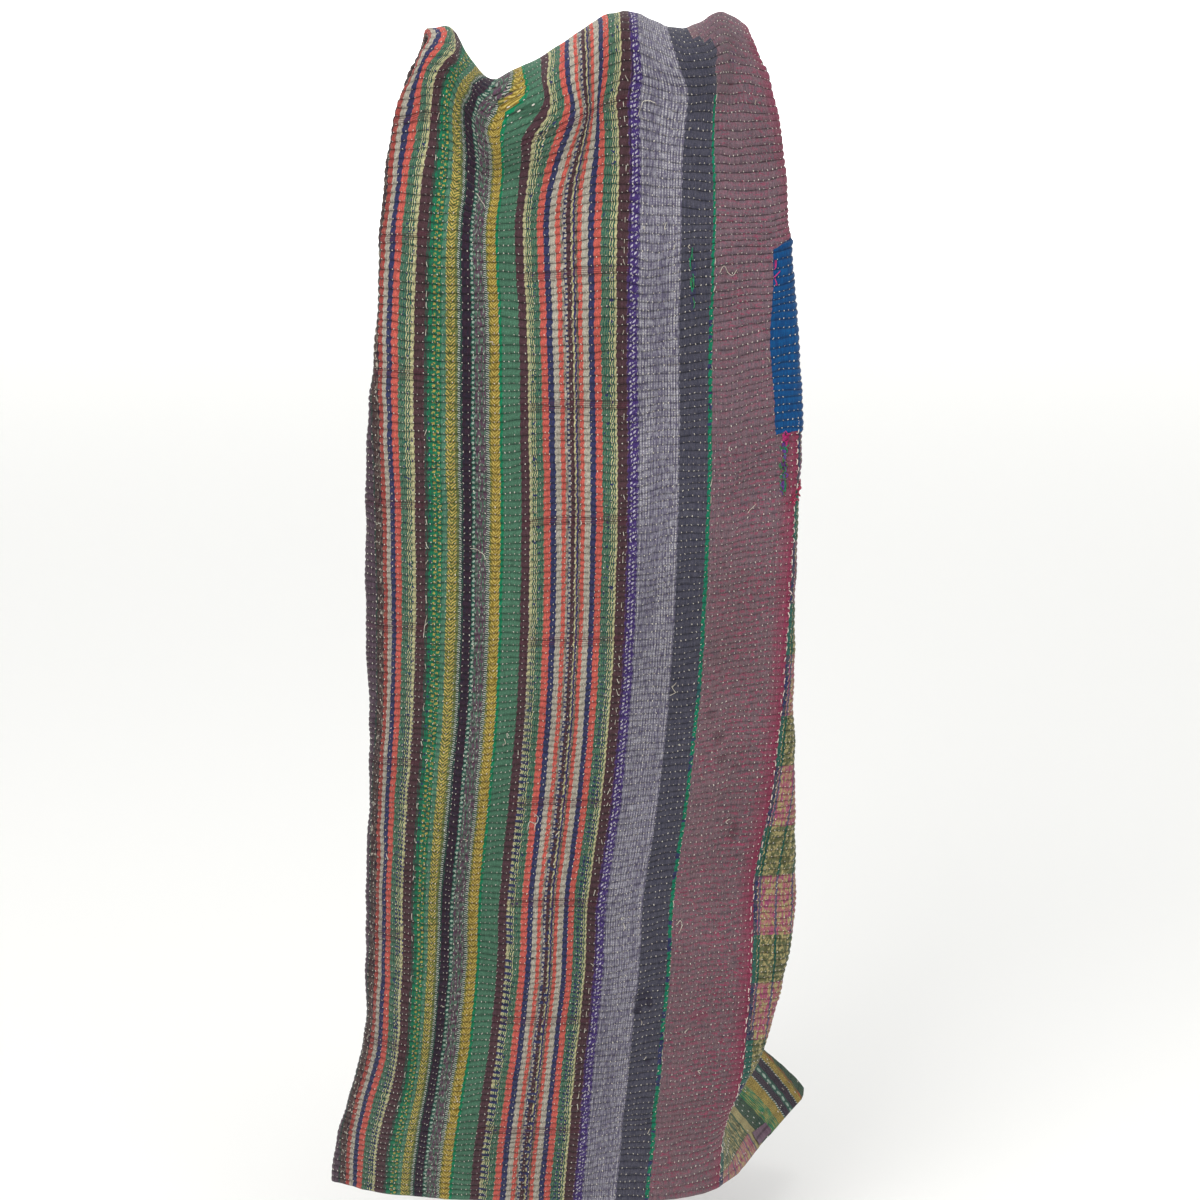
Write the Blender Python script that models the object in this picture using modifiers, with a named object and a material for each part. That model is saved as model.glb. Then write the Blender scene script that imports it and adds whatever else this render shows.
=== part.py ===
"""A kantha quilt, folded lengthwise and hung over a holder that isn't part of it.

Metres, +Z up. The origin is on the top fold, at its middle, where the holder carries the cloth.
The front of the quilt faces -Y. The cloth is one long rectangle. Its two sides are folded behind
its middle, and then it hangs over the holder, with a long front drop and a shorter back drop.
Across the cloth, a place is its distance from the purple seam, plus towards the right.
"""
import math

import bpy
import numpy as np
from mathutils import Vector

# The cloth, laid flat
clothThick = 0.0032        # two worn layers and the running stitch that joins them
leftReach = 0.640          # from the purple seam to the left edge of the cloth
rightReach = 0.430         # from the purple seam to its right edge
frontDrop = 1.241          # from the top fold to the front hem
backDrop = 0.930           # from the top fold to the back hem
plainHeight = -0.475       # below this height the back keeps one section
backFlat = 0.3             # and this share of the front's bends

# How it is folded and hung
bendRadius = 0.042         # the outer layer's bend over the holder
leftTuck = 0.0048          # radius of the left fold, which puts that side just behind the front
leftArc = math.pi * leftTuck
sideSlack = 0.0015         # how much further back that side hangs,
slackReach = 0.32          # from this far beyond the fold
rollReach = 0.05           # how far beyond the right fold its roll lasts, near the hem
layFrom, layTo = 155, 180  # the turn at which the right side begins to lie behind, and does so
gatherFrom, gatherTo = 92, 122      # and the same for being gathered to rightX
rippleHeight = 0.0008      # the puckers between the rows of stitches, at a few times their pitch
rippleFade = 0.16          # they fade out over this much below the top fold

# The blue patch, sewn over the right fold
patchThick = 0.0011
patchGap = 0.0004
patchTop = -0.220          # heights of its edges
patchFoot = -0.402
patchLeft = 0.140          # it covers the columns between these, from the purple seam
patchRight = 0.215

# What a section across the cloth does at each height of the front. The cloth is followed from
# the purple seam to each side. seamX and seamY place the seam. leftFold and rightFold are the
# distances along the cloth to the middle of each fold. leftX and rightX are how far the section
# reaches to each side, and the cloth between is gathered a little to suit. Bends are how far the
# cloth has turned back before each fold, in degrees, and a higher leftSharp keeps that turn
# nearer the fold. The left fold turns it right back, and so does the right fold but near the hem,
# where it opens: rightTurn is how far that fold turns it, rightRoll an extra turn that the cloth
# beyond takes back, and rightSpread the length it takes.
sectionNames = ("z seamX seamY leftFold leftX leftBend leftSharp "
                "rightFold rightX rightBend rightTurn rightRoll rightSpread").split()
sectionTable = [
    (0.000, 0.026, 0.000, 0.250, -0.166, 6, 3, 0.168, 0.133, 6, 180, 0, 0.030),
    (-0.030, 0.028, 0.000, 0.250, -0.179, 8, 3, 0.168, 0.153, 12, 180, 0, 0.030),
    (-0.070, 0.030, 0.000, 0.250, -0.194, 12, 3, 0.168, 0.170, 26, 180, 0, 0.030),
    (-0.130, 0.029, 0.000, 0.250, -0.2065, 18, 3, 0.166, 0.1785, 28, 180, 0, 0.030),
    (-0.210, 0.028, -0.002, 0.250, -0.2150, 18, 4, 0.165, 0.185, 22, 180, 0, 0.030),
    (-0.274, 0.029, -0.003, 0.252, -0.2165, 20, 4, 0.166, 0.190, 15, 180, 0, 0.030),
    (-0.385, 0.0294, -0.003, 0.266, -0.2300, 34, 5, 0.174, 0.200, 8, 180, 0, 0.030),
    (-0.475, 0.0287, -0.002, 0.274, -0.2350, 40, 5, 0.174, 0.198, 8, 180, 0, 0.030),
    (-0.575, 0.0250, 0.000, 0.278, -0.2380, 44, 5, 0.176, 0.196, 8, 180, 0, 0.030),
    (-0.690, 0.0200, 0.002, 0.273, -0.2370, 44, 5, 0.184, 0.1975, 8, 180, 0, 0.030),
    (-0.790, 0.0115, 0.002, 0.266, -0.2385, 46, 5, 0.198, 0.201, 10, 180, 0, 0.030),
    (-0.895, -0.0031, 0.000, 0.269, -0.2450, 48, 5, 0.212, 0.204, 10, 180, 0, 0.030),
    (-0.960, -0.0040, -0.002, 0.269, -0.2460, 46, 5, 0.208, 0.1985, 10, 168, 0, 0.031),
    (-1.060, -0.0157, -0.002, 0.264, -0.2500, 42, 4, 0.196, 0.1775, 10, 126, 0, 0.034),
    (-1.133, -0.0232, 0.000, 0.266, -0.2700, 38, 4, 0.166, 0.149, 10, 90, 12, 0.036),
    (-1.180, -0.0270, 0.004, 0.270, -0.2830, 36, 3, 0.156, 0.200, 10, 62, 32, 0.044),
    (-1.241, -0.0330, 0.010, 0.274, -0.2920, 32, 2, 0.156, 0.243, 8, 56, 0, 0.140),
]

# The line of the top fold, from left to right: it sags between the places that are held up.
ridgeNames = "x rise".split()
ridgeTable = [
    (-0.215, -0.020), (-0.176, -0.016), (-0.154, -0.010), (-0.135, -0.034), (-0.112, -0.059),
    (-0.096, -0.056), (-0.054, -0.037), (-0.029, -0.021), (0.004, -0.001), (0.024, 0.003),
    (0.045, -0.004), (0.080, -0.014), (0.096, -0.007), (0.113, 0.004), (0.133, -0.008),
    (0.160, -0.014), (0.215, -0.020),
]
ridgeFade = 0.150          # how far below the top the sag fades out
tableEase, ridgeEase = 0.030, 0.008     # how far the corners of those two tables are rounded

# Soft troughs and ridges of the hanging cloth: centre, reach each way, and how far it is pushed.
foldNames = "x z reachX reachZ lean pushX pushY".split()
foldTable = [
    (-0.105, -0.100, 0.034, 0.080, 0.00, 0.004, 0.016),    # the valley below the sag
    (-0.150, -0.120, 0.030, 0.110, 0.00, 0.004, -0.004),   # the lobe left of it
    (-0.132, -0.030, 0.032, 0.045, 0.00, 0.014, 0.000),
    (-0.045, -0.058, 0.044, 0.040, 0.00, 0.024, -0.008),   # the cloth that hangs in over the crease
    (-0.062, -0.122, 0.050, 0.018, -0.50, 0.000, 0.009),   # the crease itself
    (0.150, -0.030, 0.030, 0.045, 0.00, -0.006, 0.010),    # the mauve lobe, behind the slate fold
    (-0.030, -0.420, 0.030, 0.240, 0.05, 0.000, 0.005),    # long soft hollows and ridges
    (0.090, -0.520, 0.035, 0.260, 0.00, 0.000, -0.004),
    (-0.130, -0.620, 0.030, 0.240, 0.04, 0.000, -0.005),
    (0.010, -0.860, 0.035, 0.220, 0.06, 0.000, -0.006),
    (0.110, -0.900, 0.035, 0.200, 0.05, 0.000, 0.006),
    (-0.120, -1.020, 0.035, 0.160, 0.05, 0.000, 0.006),
    (-0.220, -1.090, 0.030, 0.070, 0.00, 0.005, -0.010),   # the roll above the flared left corner
]
topFolds = -0.2            # folds centred above this height go through every layer
frontEdge, backEdge = -0.018, 0.012     # those below fade out between these, front to back
# Right of the slate fold, the cloth steps back behind it near the top.
stepX, stepZ, stepWide, stepTall, stepBack = 0.1115, -0.022, 0.0085, 0.052, 0.013

# The grid. The columns of the middle are shares of the way from the seam to a fold, closer
# together where the cloth creases. A side that lies behind it has its columns behind these, so
# that the flat facets of the two stay apart.
middleColumns = [-0.88, -0.76, -0.66, -0.56, -0.44, -0.28, -0.10, 0.15, 0.40, 0.56, 0.70, 0.83,
                 0.94]     # the last is the blue patch's left edge
behindLeft = [-0.88, -0.76, -0.66, -0.56, -0.44, -0.28, 0.0, 0.40, 0.56, 0.70]
behindRight = [0.83, 0.70, 0.56, 0.40, 0.05]
foldColumns = 4            # across each of the two folds
alignHeight = -0.05        # where the columns behind lie exactly behind
fineStep = 0.0005          # the steps in which a section is followed before it is sampled
frontRowStep, bendRows, backRowStep = 0.0245, 9, 0.060
sharpAngle = math.radians(50)


def smooth(t):
    t = np.clip(t, 0.0, 1.0)
    return t * t * (3 - 2 * t)


def column(table, names, name):
    return [row[names.index(name)] for row in table]


def eased(at, knots, values, reach):
    """A value read from a table with its corners rounded, as the mean of a few readings."""
    near = [np.interp(at + share * reach, knots, values) for share in (-1, -0.5, 0, 0.5, 1)]
    return (near[0] + 2 * near[1] + 2 * near[2] + 2 * near[3] + near[4]) / 8


def readTable(z):
    """The section's values at one height."""
    heights = -np.array(column(sectionTable, sectionNames, "z"))
    return {name: float(eased(-z, heights, column(sectionTable, sectionNames, name), tableEase))
            for name in sectionNames}


def landmarks(s):
    """Where the folds begin and end, as distances from the seam."""
    leftHalf, rightHalf = leftArc / 2, s["rightSpread"] / 2
    return (-s["leftFold"] - leftHalf, -s["leftFold"] + leftHalf,
            s["rightFold"] - rightHalf, s["rightFold"] + rightHalf)


def heading(places, s):
    """The direction of the cloth in plan at each place across it, in radians from +X."""
    leftBend, rightBend = np.radians(s["leftBend"]), np.radians(s["rightBend"])
    turned = -leftBend * np.clip(-places / s["leftFold"], 0, 1) ** s["leftSharp"]
    turned += rightBend * np.clip(places / s["rightFold"], 0, 1) ** 2
    leftIn = (-places - s["leftFold"]) / leftArc + 0.5
    rightIn = (places - s["rightFold"]) / s["rightSpread"] + 0.5
    turned -= math.pi * np.clip(leftIn, 0, 1)
    turned += np.radians(s["rightTurn"]) * np.clip(rightIn, 0, 1)
    beyond = np.clip(rightIn - 1, 0, None) * s["rightSpread"]
    turned += np.radians(s["rightRoll"]) * smooth(rightIn) * np.exp(-(beyond / rollReach) ** 2)
    return turned


def layBehind(curve, fine, turned, places, gap):
    """Where a side lies that is folded right back: a gap behind these places of the middle."""
    normal = np.stack([-np.sin(turned), np.cos(turned)], axis=1)
    return np.stack([np.interp(places, fine, curve[:, k] + gap * normal[:, k]) for k in (0, 1)],
                    axis=1)


def section(s, places):
    """Where the cloth lies across one height: x, and how far it is behind the front plane."""
    fine = np.linspace(-leftReach, rightReach, round((leftReach + rightReach) / fineStep) + 1)
    turned = heading(fine, s)
    step = fine[1] - fine[0]
    middle = (turned[1:] + turned[:-1]) / 2
    curve = np.stack([np.cumsum(np.append(0, np.cos(middle))),
                      np.cumsum(np.append(0, np.sin(middle)))], axis=1) * step
    curve -= curve[np.searchsorted(fine, 0.0)]
    # Each side that is folded right back lies along the middle of the cloth.
    leftOuter, leftInner, rightInner, rightOuter = landmarks(s)
    laid = curve.copy()
    left = fine < leftOuter
    away = leftOuter - fine[left]
    laid[left] = layBehind(curve, fine, turned, leftInner + away, 2 * leftTuck)
    laid[left, 1] += sideSlack * smooth(away / slackReach)
    right = fine > rightOuter
    behind = layBehind(curve, fine, turned, rightInner + rightOuter - fine[right],
                       2 * s["rightSpread"] / math.pi)
    follow = smooth((s["rightTurn"] - layFrom) / (layTo - layFrom))
    laid[right] += follow * (behind - curve[right])
    # Gather the cloth on each side of the seam, so that the folds show where they should.
    for side, name in ((-1, "leftX"), (1, "rightX")):
        furthest = (laid[:, 0] * side).max()
        held = 1.0
        if side > 0:
            held = smooth((s["rightTurn"] - gatherFrom) / (gatherTo - gatherFrom))
        gather = 1 + held * ((s[name] - s["seamX"]) * side / furthest - 1)
        laid[:, 0] *= np.where(laid[:, 0] * side > 0, gather, 1)
    x = s["seamX"] + np.interp(places, fine, laid[:, 0])
    depth = s["seamY"] + np.interp(places, fine, laid[:, 1])
    return x, depth


def hang(along):
    """The way down the front and the back: height, y of the front plane, and which way is in."""
    straight = frontDrop - bendRadius
    quarter = bendRadius * math.pi / 2
    if along <= straight:
        return -frontDrop + along, -bendRadius, Vector((0, 1, 0))
    if along <= straight + 2 * quarter:
        angle = (along - straight) / bendRadius
        inward = Vector((0, math.cos(angle), -math.sin(angle)))
        return (-bendRadius + bendRadius * math.sin(angle), -bendRadius * math.cos(angle), inward)
    down = along - straight - 2 * quarter
    return -bendRadius - down, bendRadius, Vector((0, -1, 0))


def settle(points):
    """Lets the hung cloth sag and crease. Every layer moves alike, so none meets another."""
    x, y, z = points.T
    top = eased(x, column(ridgeTable, ridgeNames, "x"), column(ridgeTable, ridgeNames, "rise"),
                ridgeEase)
    fade = np.exp(-(np.minimum(z, 0) / ridgeFade) ** 2)
    moved = np.stack([x, y, z + top * fade], axis=1)
    frontShare = smooth((backEdge - y) / (backEdge - frontEdge))
    for row in foldTable:
        fold = dict(zip(foldNames, row))
        offX = (x - fold["x"] - fold["lean"] * (z - fold["z"])) / fold["reachX"]
        offZ = (z - fold["z"]) / fold["reachZ"]
        weight = np.exp(-offX ** 2 - offZ ** 2)
        moved[:, 0] += fold["pushX"] * weight
        moved[:, 1] += fold["pushY"] * weight * np.where(fold["z"] > topFolds, 1.0, frontShare)
    step = 0.5 + 0.5 * np.tanh((x - stepX) / stepWide)
    moved[:, 1] += stepBack * step * np.exp(-((z - stepZ) / stepTall) ** 2)
    return moved


def middlePlace(share, leftInner, rightInner):
    return share * (-leftInner if share < 0 else rightInner)


def placesAcross(s):
    """The columns of the grid in one row, as distances from the seam."""
    leftOuter, leftInner, rightInner, rightOuter = landmarks(s)
    level = landmarks(readTable(alignHeight))
    leftAway = [(middlePlace(share, *level[1:3]) - level[1]) / (level[0] + leftReach)
                for share in behindLeft]
    rightAway = [(level[2] - middlePlace(share, *level[1:3])) / (rightReach - level[3])
                 for share in behindRight]
    places = [-leftReach] + [leftOuter - away * (leftOuter + leftReach) for away in leftAway[::-1]]
    places += list(np.linspace(leftOuter, leftInner, foldColumns + 1))
    places += [middlePlace(share, leftInner, rightInner) for share in middleColumns]
    places += list(np.linspace(rightInner, rightOuter, foldColumns + 1))
    places += [rightOuter + away * (rightReach - rightOuter) for away in rightAway] + [rightReach]
    return np.array(places)


def rowsAlong():
    """The rows of the grid, as distances from the front hem."""
    straight = frontDrop - bendRadius
    over = straight + math.pi * bendRadius
    total = over + backDrop - bendRadius
    edges = [0, frontDrop + patchFoot, frontDrop + patchTop, straight]
    front = [np.linspace(low, high, round((high - low) / frontRowStep), endpoint=False)
             for low, high in zip(edges, edges[1:])]
    bend = np.linspace(straight, over, bendRows, endpoint=False)
    back = np.linspace(over, total, round((total - over) / backRowStep) + 1)
    return np.concatenate([*front, bend, back])


def clothRow(along):
    """One row of points across the cloth, before it settles."""
    z, planeY, inward = hang(along)
    s = readTable(z)
    if along > frontDrop - bendRadius + math.pi * bendRadius / 2:
        # The back hangs straight and plain, as the front does a little below the top.
        s = readTable(max(z, plainHeight))
        flat = 1 - (1 - backFlat) * smooth((z - alignHeight) / (plainHeight - alignHeight))
        s.update(leftBend=s["leftBend"] * flat, rightBend=s["rightBend"] * flat)
    x, depth = section(s, placesAcross(s))
    base = np.array([0.0, planeY, z])
    way = np.array(inward)
    return np.stack([x, np.zeros_like(x), np.zeros_like(x)], axis=1) + base + depth[:, None] * way


def sheetNormals(grid):
    """The outward direction at each point of a grid of points, rows first."""
    up = np.gradient(grid, axis=0)
    across = np.gradient(grid, axis=1)
    out = np.cross(across, up)
    return out / np.linalg.norm(out, axis=2, keepdims=True)


def gridObject(name, grid, thick, material, collection):
    """An open sheet over a grid of points, made thick evenly on both sides."""
    rows, columns = grid.shape[:2]
    faces = []
    for r in range(rows - 1):
        for c in range(columns - 1):
            a = r * columns + c
            faces.append((a, a + 1, a + 1 + columns, a + columns))
    mesh = bpy.data.meshes.new(name)
    mesh.from_pydata([tuple(p) for p in grid.reshape(-1, 3)], [], faces)
    mesh.update()
    mesh.shade_smooth()
    mesh.set_sharp_from_angle(angle=sharpAngle)
    mesh.materials.append(material)
    made = bpy.data.objects.new(name, mesh)
    solid = made.modifiers.new("thickness", "SOLIDIFY")
    solid.thickness = thick
    solid.offset = 0.0
    solid.use_even_offset = False
    collection.objects.link(made)
    return made


def fabric(name, colour, roughness):
    material = bpy.data.materials.new(name)
    material.use_nodes = True
    shader = material.node_tree.nodes["Principled BSDF"]
    shader.inputs["Base Color"].default_value = (*colour, 1.0)
    shader.inputs["Roughness"].default_value = roughness
    shader.inputs["Metallic"].default_value = 0.0
    return material


def makeQuilt(collection):
    rows = rowsAlong()
    grid = np.stack([settle(clothRow(along)) for along in rows])
    fromTop = np.maximum(np.abs(rows - frontDrop) - bendRadius, 0)
    everyOther = np.where(np.arange(len(rows)) % 2, 1.0, -1.0)
    ripple = rippleHeight * smooth(fromTop / rippleFade) * everyOther
    grid = grid + sheetNormals(grid) * ripple[:, None, None]
    cloth = fabric("striped cotton", (0.27, 0.22, 0.22), 0.92)
    return gridObject("quilt", grid, clothThick, cloth, collection), grid


def makePatch(collection, quiltGrid):
    """The patch lies on the quilt's own points, so that it follows its folds at an even gap."""
    heights = rowsAlong() - frontDrop
    rows = np.flatnonzero((heights > patchFoot - fineStep) & (heights < patchTop + fineStep))
    places = placesAcross(readTable((patchTop + patchFoot) / 2))
    columns = np.flatnonzero((places > patchLeft) & (places < patchRight))
    raised = quiltGrid + sheetNormals(quiltGrid) * (clothThick / 2 + patchGap + patchThick / 2)
    grid = raised[rows[0]:rows[-1] + 1, columns[0]:columns[-1] + 1]
    blue = fabric("blue cotton", (0.0, 0.10, 0.32), 0.9)
    return gridObject("blue_patch", grid, patchThick, blue, collection)


def main():
    for old in list(bpy.data.objects):
        bpy.data.objects.remove(old, do_unlink=True)
    collection = bpy.data.collections.new("kantha quilt")
    bpy.context.scene.collection.children.link(collection)
    quilt, grid = makeQuilt(collection)
    patch = makePatch(collection, grid)
    patch.parent = quilt


main()
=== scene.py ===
# The kantha quilt's looks: striped cotton with its puckers, stitches, patch and loose threads.
# Lengths are metres, in the CAD's frame. Across the cloth a place is its distance from the purple
# seam, and along it the distance from the front hem, up over the holder and down the back.
import math

import bpy
import numpy as np
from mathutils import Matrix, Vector


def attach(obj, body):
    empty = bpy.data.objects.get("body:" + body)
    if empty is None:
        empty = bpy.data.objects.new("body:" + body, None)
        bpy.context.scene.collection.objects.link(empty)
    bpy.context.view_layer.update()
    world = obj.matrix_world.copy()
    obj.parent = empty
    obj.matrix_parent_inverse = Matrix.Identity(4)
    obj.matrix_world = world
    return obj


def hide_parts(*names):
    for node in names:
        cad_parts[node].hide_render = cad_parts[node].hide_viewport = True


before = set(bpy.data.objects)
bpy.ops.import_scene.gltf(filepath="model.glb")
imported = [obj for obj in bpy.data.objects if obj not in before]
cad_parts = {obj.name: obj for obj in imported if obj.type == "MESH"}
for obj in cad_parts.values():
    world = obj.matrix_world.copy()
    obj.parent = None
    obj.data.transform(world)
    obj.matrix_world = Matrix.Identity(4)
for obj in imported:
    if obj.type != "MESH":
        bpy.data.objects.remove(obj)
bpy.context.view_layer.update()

scene = bpy.context.scene
fullTurn = 6.283

# how the cloth hangs, as in the CAD part
cloth = {
    "leftReach": 0.640, "rightReach": 0.430,     # how wide the cloth is, on each side of the purple seam
    "frontDrop": 1.241, "backDrop": 0.930,
    "bendRadius": 0.042, "leftTuck": 0.0048,
    "sideSlack": 0.0015, "slackReach": 0.32, "rollReach": 0.05,
    "plainHeight": -0.475, "backFlat": 0.3, "alignHeight": -0.05,
    "ridgeFade": 0.150, "tableEase": 0.030, "ridgeEase": 0.006,
    "topFolds": -0.2, "frontEdge": -0.018, "backEdge": 0.012,
    "step": {"x": 0.1115, "z": -0.022, "wide": 0.0045, "tall": 0.055, "back": 0.014},
    "thick": 0.0030,
    "linePitch": 0.0050,    # from one running-stitch line to the next, across the cloth
    "pucker": 0.0011,
    "frontUpTo": 1.262,     # how much of the cloth's length is in the front piece
    "valleyX": -0.105, "valleyZ": -0.07, "clearOfValley": 0.009, "clearOfHem": 0.003,
    "cornerReach": 0.020, "cornerLift": 0.0045,
}
# from one row of stitches to the next, at these distances along the cloth
pitchTable = [(0.0, 0.0070), (0.30, 0.0070), (0.55, 0.0067), (0.80, 0.0070), (0.90, 0.0077),
              (1.00, 0.0088), (2.50, 0.0088)]
leftArc = math.pi * cloth["leftTuck"]
overTop = cloth["frontDrop"] - cloth["bendRadius"] + math.pi * cloth["bendRadius"]
clothLong = overTop + cloth["backDrop"] - cloth["bendRadius"]

# the cloth's section at each height: where the seam, the folds and the sides are, and how they turn
sectionNames = ("z seamX seamY leftFold leftX leftBend leftSharp "
                "rightFold rightX rightBend rightTurn rightRoll rightSpread").split()
sectionTable = [
    (0.000, 0.026, 0.000, 0.250, -0.166, 6, 3, 0.168, 0.133, 6, 180, 0, 0.030),
    (-0.030, 0.028, 0.000, 0.250, -0.1815, 8, 3, 0.168, 0.153, 12, 180, 0, 0.030),
    (-0.070, 0.030, 0.000, 0.250, -0.1965, 12, 3, 0.168, 0.170, 26, 180, 0, 0.030),
    (-0.130, 0.029, 0.000, 0.250, -0.2065, 18, 3, 0.166, 0.1785, 28, 180, 0, 0.030),
    (-0.210, 0.028, -0.002, 0.250, -0.2150, 18, 4, 0.165, 0.185, 22, 180, 0, 0.030),
    (-0.274, 0.029, -0.003, 0.252, -0.2165, 20, 4, 0.166, 0.190, 15, 180, 0, 0.030),
    (-0.385, 0.0294, -0.003, 0.266, -0.2300, 34, 5, 0.174, 0.200, 8, 180, 0, 0.030),
    (-0.475, 0.0287, -0.002, 0.274, -0.2350, 40, 5, 0.174, 0.198, 8, 180, 0, 0.030),
    (-0.575, 0.0250, 0.000, 0.278, -0.2380, 44, 5, 0.176, 0.196, 8, 180, 0, 0.030),
    (-0.690, 0.0200, 0.002, 0.273, -0.2370, 44, 5, 0.184, 0.1975, 8, 180, 0, 0.030),
    (-0.790, 0.0115, 0.002, 0.266, -0.2385, 46, 5, 0.198, 0.201, 10, 180, 0, 0.030),
    (-0.895, -0.0031, 0.000, 0.269, -0.2450, 48, 5, 0.212, 0.204, 10, 180, 0, 0.030),
    (-0.960, -0.0040, -0.002, 0.269, -0.2460, 46, 5, 0.208, 0.1985, 10, 168, 0, 0.031),
    (-1.060, -0.0157, -0.002, 0.264, -0.2500, 42, 4, 0.196, 0.1775, 10, 126, 0, 0.034),
    (-1.133, -0.0232, 0.000, 0.266, -0.2700, 38, 4, 0.166, 0.149, 10, 90, 12, 0.036),
    (-1.180, -0.0270, 0.004, 0.270, -0.2830, 36, 3, 0.156, 0.200, 10, 62, 32, 0.044),
    (-1.241, -0.0330, 0.010, 0.274, -0.2920, 32, 2, 0.156, 0.243, 8, 56, 0, 0.140),
]
# the line of the top fold: place in x, and its height
ridgeTable = [
    (-0.215, -0.020), (-0.178, -0.014), (-0.169, -0.008), (-0.155, -0.0115), (-0.1415, -0.0085),
    (-0.1335, -0.026),
    (-0.120, -0.050), (-0.1105, -0.0600), (-0.103, -0.0650), (-0.096, -0.0600), (-0.054, -0.040),
    (-0.029, -0.024), (0.004, -0.003), (0.024, 0.003), (0.045, -0.005), (0.066, -0.014), (0.080, -0.0165),
    (0.096, -0.008), (0.113, 0.004), (0.133, -0.004), (0.160, -0.012), (0.215, -0.020),
]
foldNames = "x z reachX reachZ lean pushX pushY".split()
foldTable = [
    (-0.105, -0.100, 0.034, 0.080, 0.00, 0.000, 0.016),    # the valley below the sag
    (-0.150, -0.120, 0.030, 0.110, 0.00, 0.000, -0.004),   # the lobe left of it
    (0.085, -0.045, 0.035, 0.060, 0.00, 0.014, 0.000),
    (-0.045, -0.058, 0.044, 0.040, 0.00, 0.000, -0.008),   # the cloth that hangs in over the crease
    (-0.062, -0.122, 0.050, 0.018, -0.50, 0.000, 0.009),   # and what is below it
    (0.140, -0.010, 0.030, 0.045, 0.00, 0.006, 0.010),     # the mauve lobe, behind the slate fold
    (-0.030, -0.420, 0.030, 0.240, 0.05, 0.000, 0.005),    # long soft hollows and ridges
    (0.090, -0.520, 0.035, 0.260, 0.00, 0.000, -0.004),
    (-0.130, -0.620, 0.030, 0.240, 0.04, 0.000, -0.005),
    (0.010, -0.860, 0.035, 0.220, 0.06, 0.000, -0.006),
    (0.110, -0.900, 0.035, 0.200, 0.05, 0.000, 0.006),
    (-0.120, -1.020, 0.035, 0.160, 0.05, 0.000, 0.006),
    (-0.220, -1.090, 0.030, 0.070, 0.00, 0.005, -0.010),   # the roll above the flared left corner
]
# how far the cloth is drawn aside below the sag, in mm: height, and then at each of these places in x
gatherPlaces = (-0.215, -0.195, -0.180, -0.165, -0.150, -0.135, -0.120, -0.105, -0.090,
                -0.075, -0.060, -0.045, -0.030, -0.010, 0.010, 0.035, 0.060, 0.090)
gatherTable = [
    (0.004, 0, 0, 4.4, 8.0, 7.7, 2.3, 0.7, -1.4, 1.5, 1.2, 2.8, 3.9, 1.0, 1.2, 1.0, 0.6, 0.1, 0),
    (-0.010, 0, 0, 5.2, 11.7, 12.3, 1.3, -1.2, -13.2, 5.3, 3.4, 3.7, 4.2, 1.6, 1.7, 1.2, 0.7, 0.2, 0),
    (-0.025, 0, 0, 7.1, 8.1, 13.6, -0.5, -4.8, -15.4, -4.0, 18.5, 3.9, 3.6, 3.1, 2.7, 1.4, 0.7, 0.2, 0),
    (-0.040, 0, 0, 7.7, 2.3, 3.9, -1.3, -7.1, -11.6, -14.8, 18.4, 9.7, 7.6, 4.6, 3.7, 0.9, 0.6, 0.8, 0),
    (-0.060, 0, 0, 6.5, 3.1, 0.6, -1.3, -10.5, -10.4, -14.1, 5.7, 12.0, 15.2, 8.1, 4.6, -2.1, 0, 3.2, 0),
    (-0.080, 0, 0, 8.1, 4.1, 0.9, -3.0, -5.7, -4.5, -5.1, -3.9, -0.9, 13.7, 14.4, 4.7, -7.1, -3.5, 1.3, 0),
    (-0.110, 0, 0, 6.8, 5.5, 2.8, 0.3, 0.4, 0.3, -0.3, 0.1, 1.8, 6.6, 7.8, 3.0, -1.6, -1.4, 0, 0),
    (-0.150, 0, 0, 1.2, 1.5, 1.9, 2.2, 2.6, 1.6, 0.7, 0.4, 0.2, 0.2, 0.2, 0.3, 0.1, 0, 0, 0),
    (-0.200, 0, 0, 0, 0, 0, 0, 0, 0, 0, 0, 0, 0, 0, 0, 0, 0, 0, 0),
]
crease = {       # the fold line below the sag, where the cloth above it hangs over the cloth below
    "x": (-0.1063, -0.0985, -0.0929, -0.0867, -0.0835, -0.0773, -0.0717, -0.0638, -0.0552, -0.0495),
    "z": (-0.0573, -0.0659, -0.0713, -0.0767, -0.0799, -0.0838, -0.0863, -0.0870, -0.0880, -0.0919),
    "shift": (0.0, 0.0019, 0.0086, 0.0109, 0.0114, 0.0119, 0.0133, 0.0086, 0.0014, 0.0),
    "fall": 0.022, "behind": 0.006, "over": 0.003, "soft": 0.019,
}


def smooth(t):
    t = np.clip(t, 0.0, 1.0)
    return t * t * (3 - 2 * t)


def eased(at, knots, values, reach):
    near = [np.interp(at + share * reach, knots, values) for share in (-1, -0.5, 0, 0.5, 1)]
    return (near[0] + 2 * near[1] + 2 * near[2] + 2 * near[3] + near[4]) / 8


sectionColumns = {name: [row[n] for row in sectionTable] for n, name in enumerate(sectionNames)}
ridgeX, ridgeRise = zip(*ridgeTable)


def readTable(z):
    heights = -np.array(sectionColumns["z"])
    return {name: float(eased(-z, heights, sectionColumns[name], cloth["tableEase"]))
            for name in sectionNames}


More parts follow.
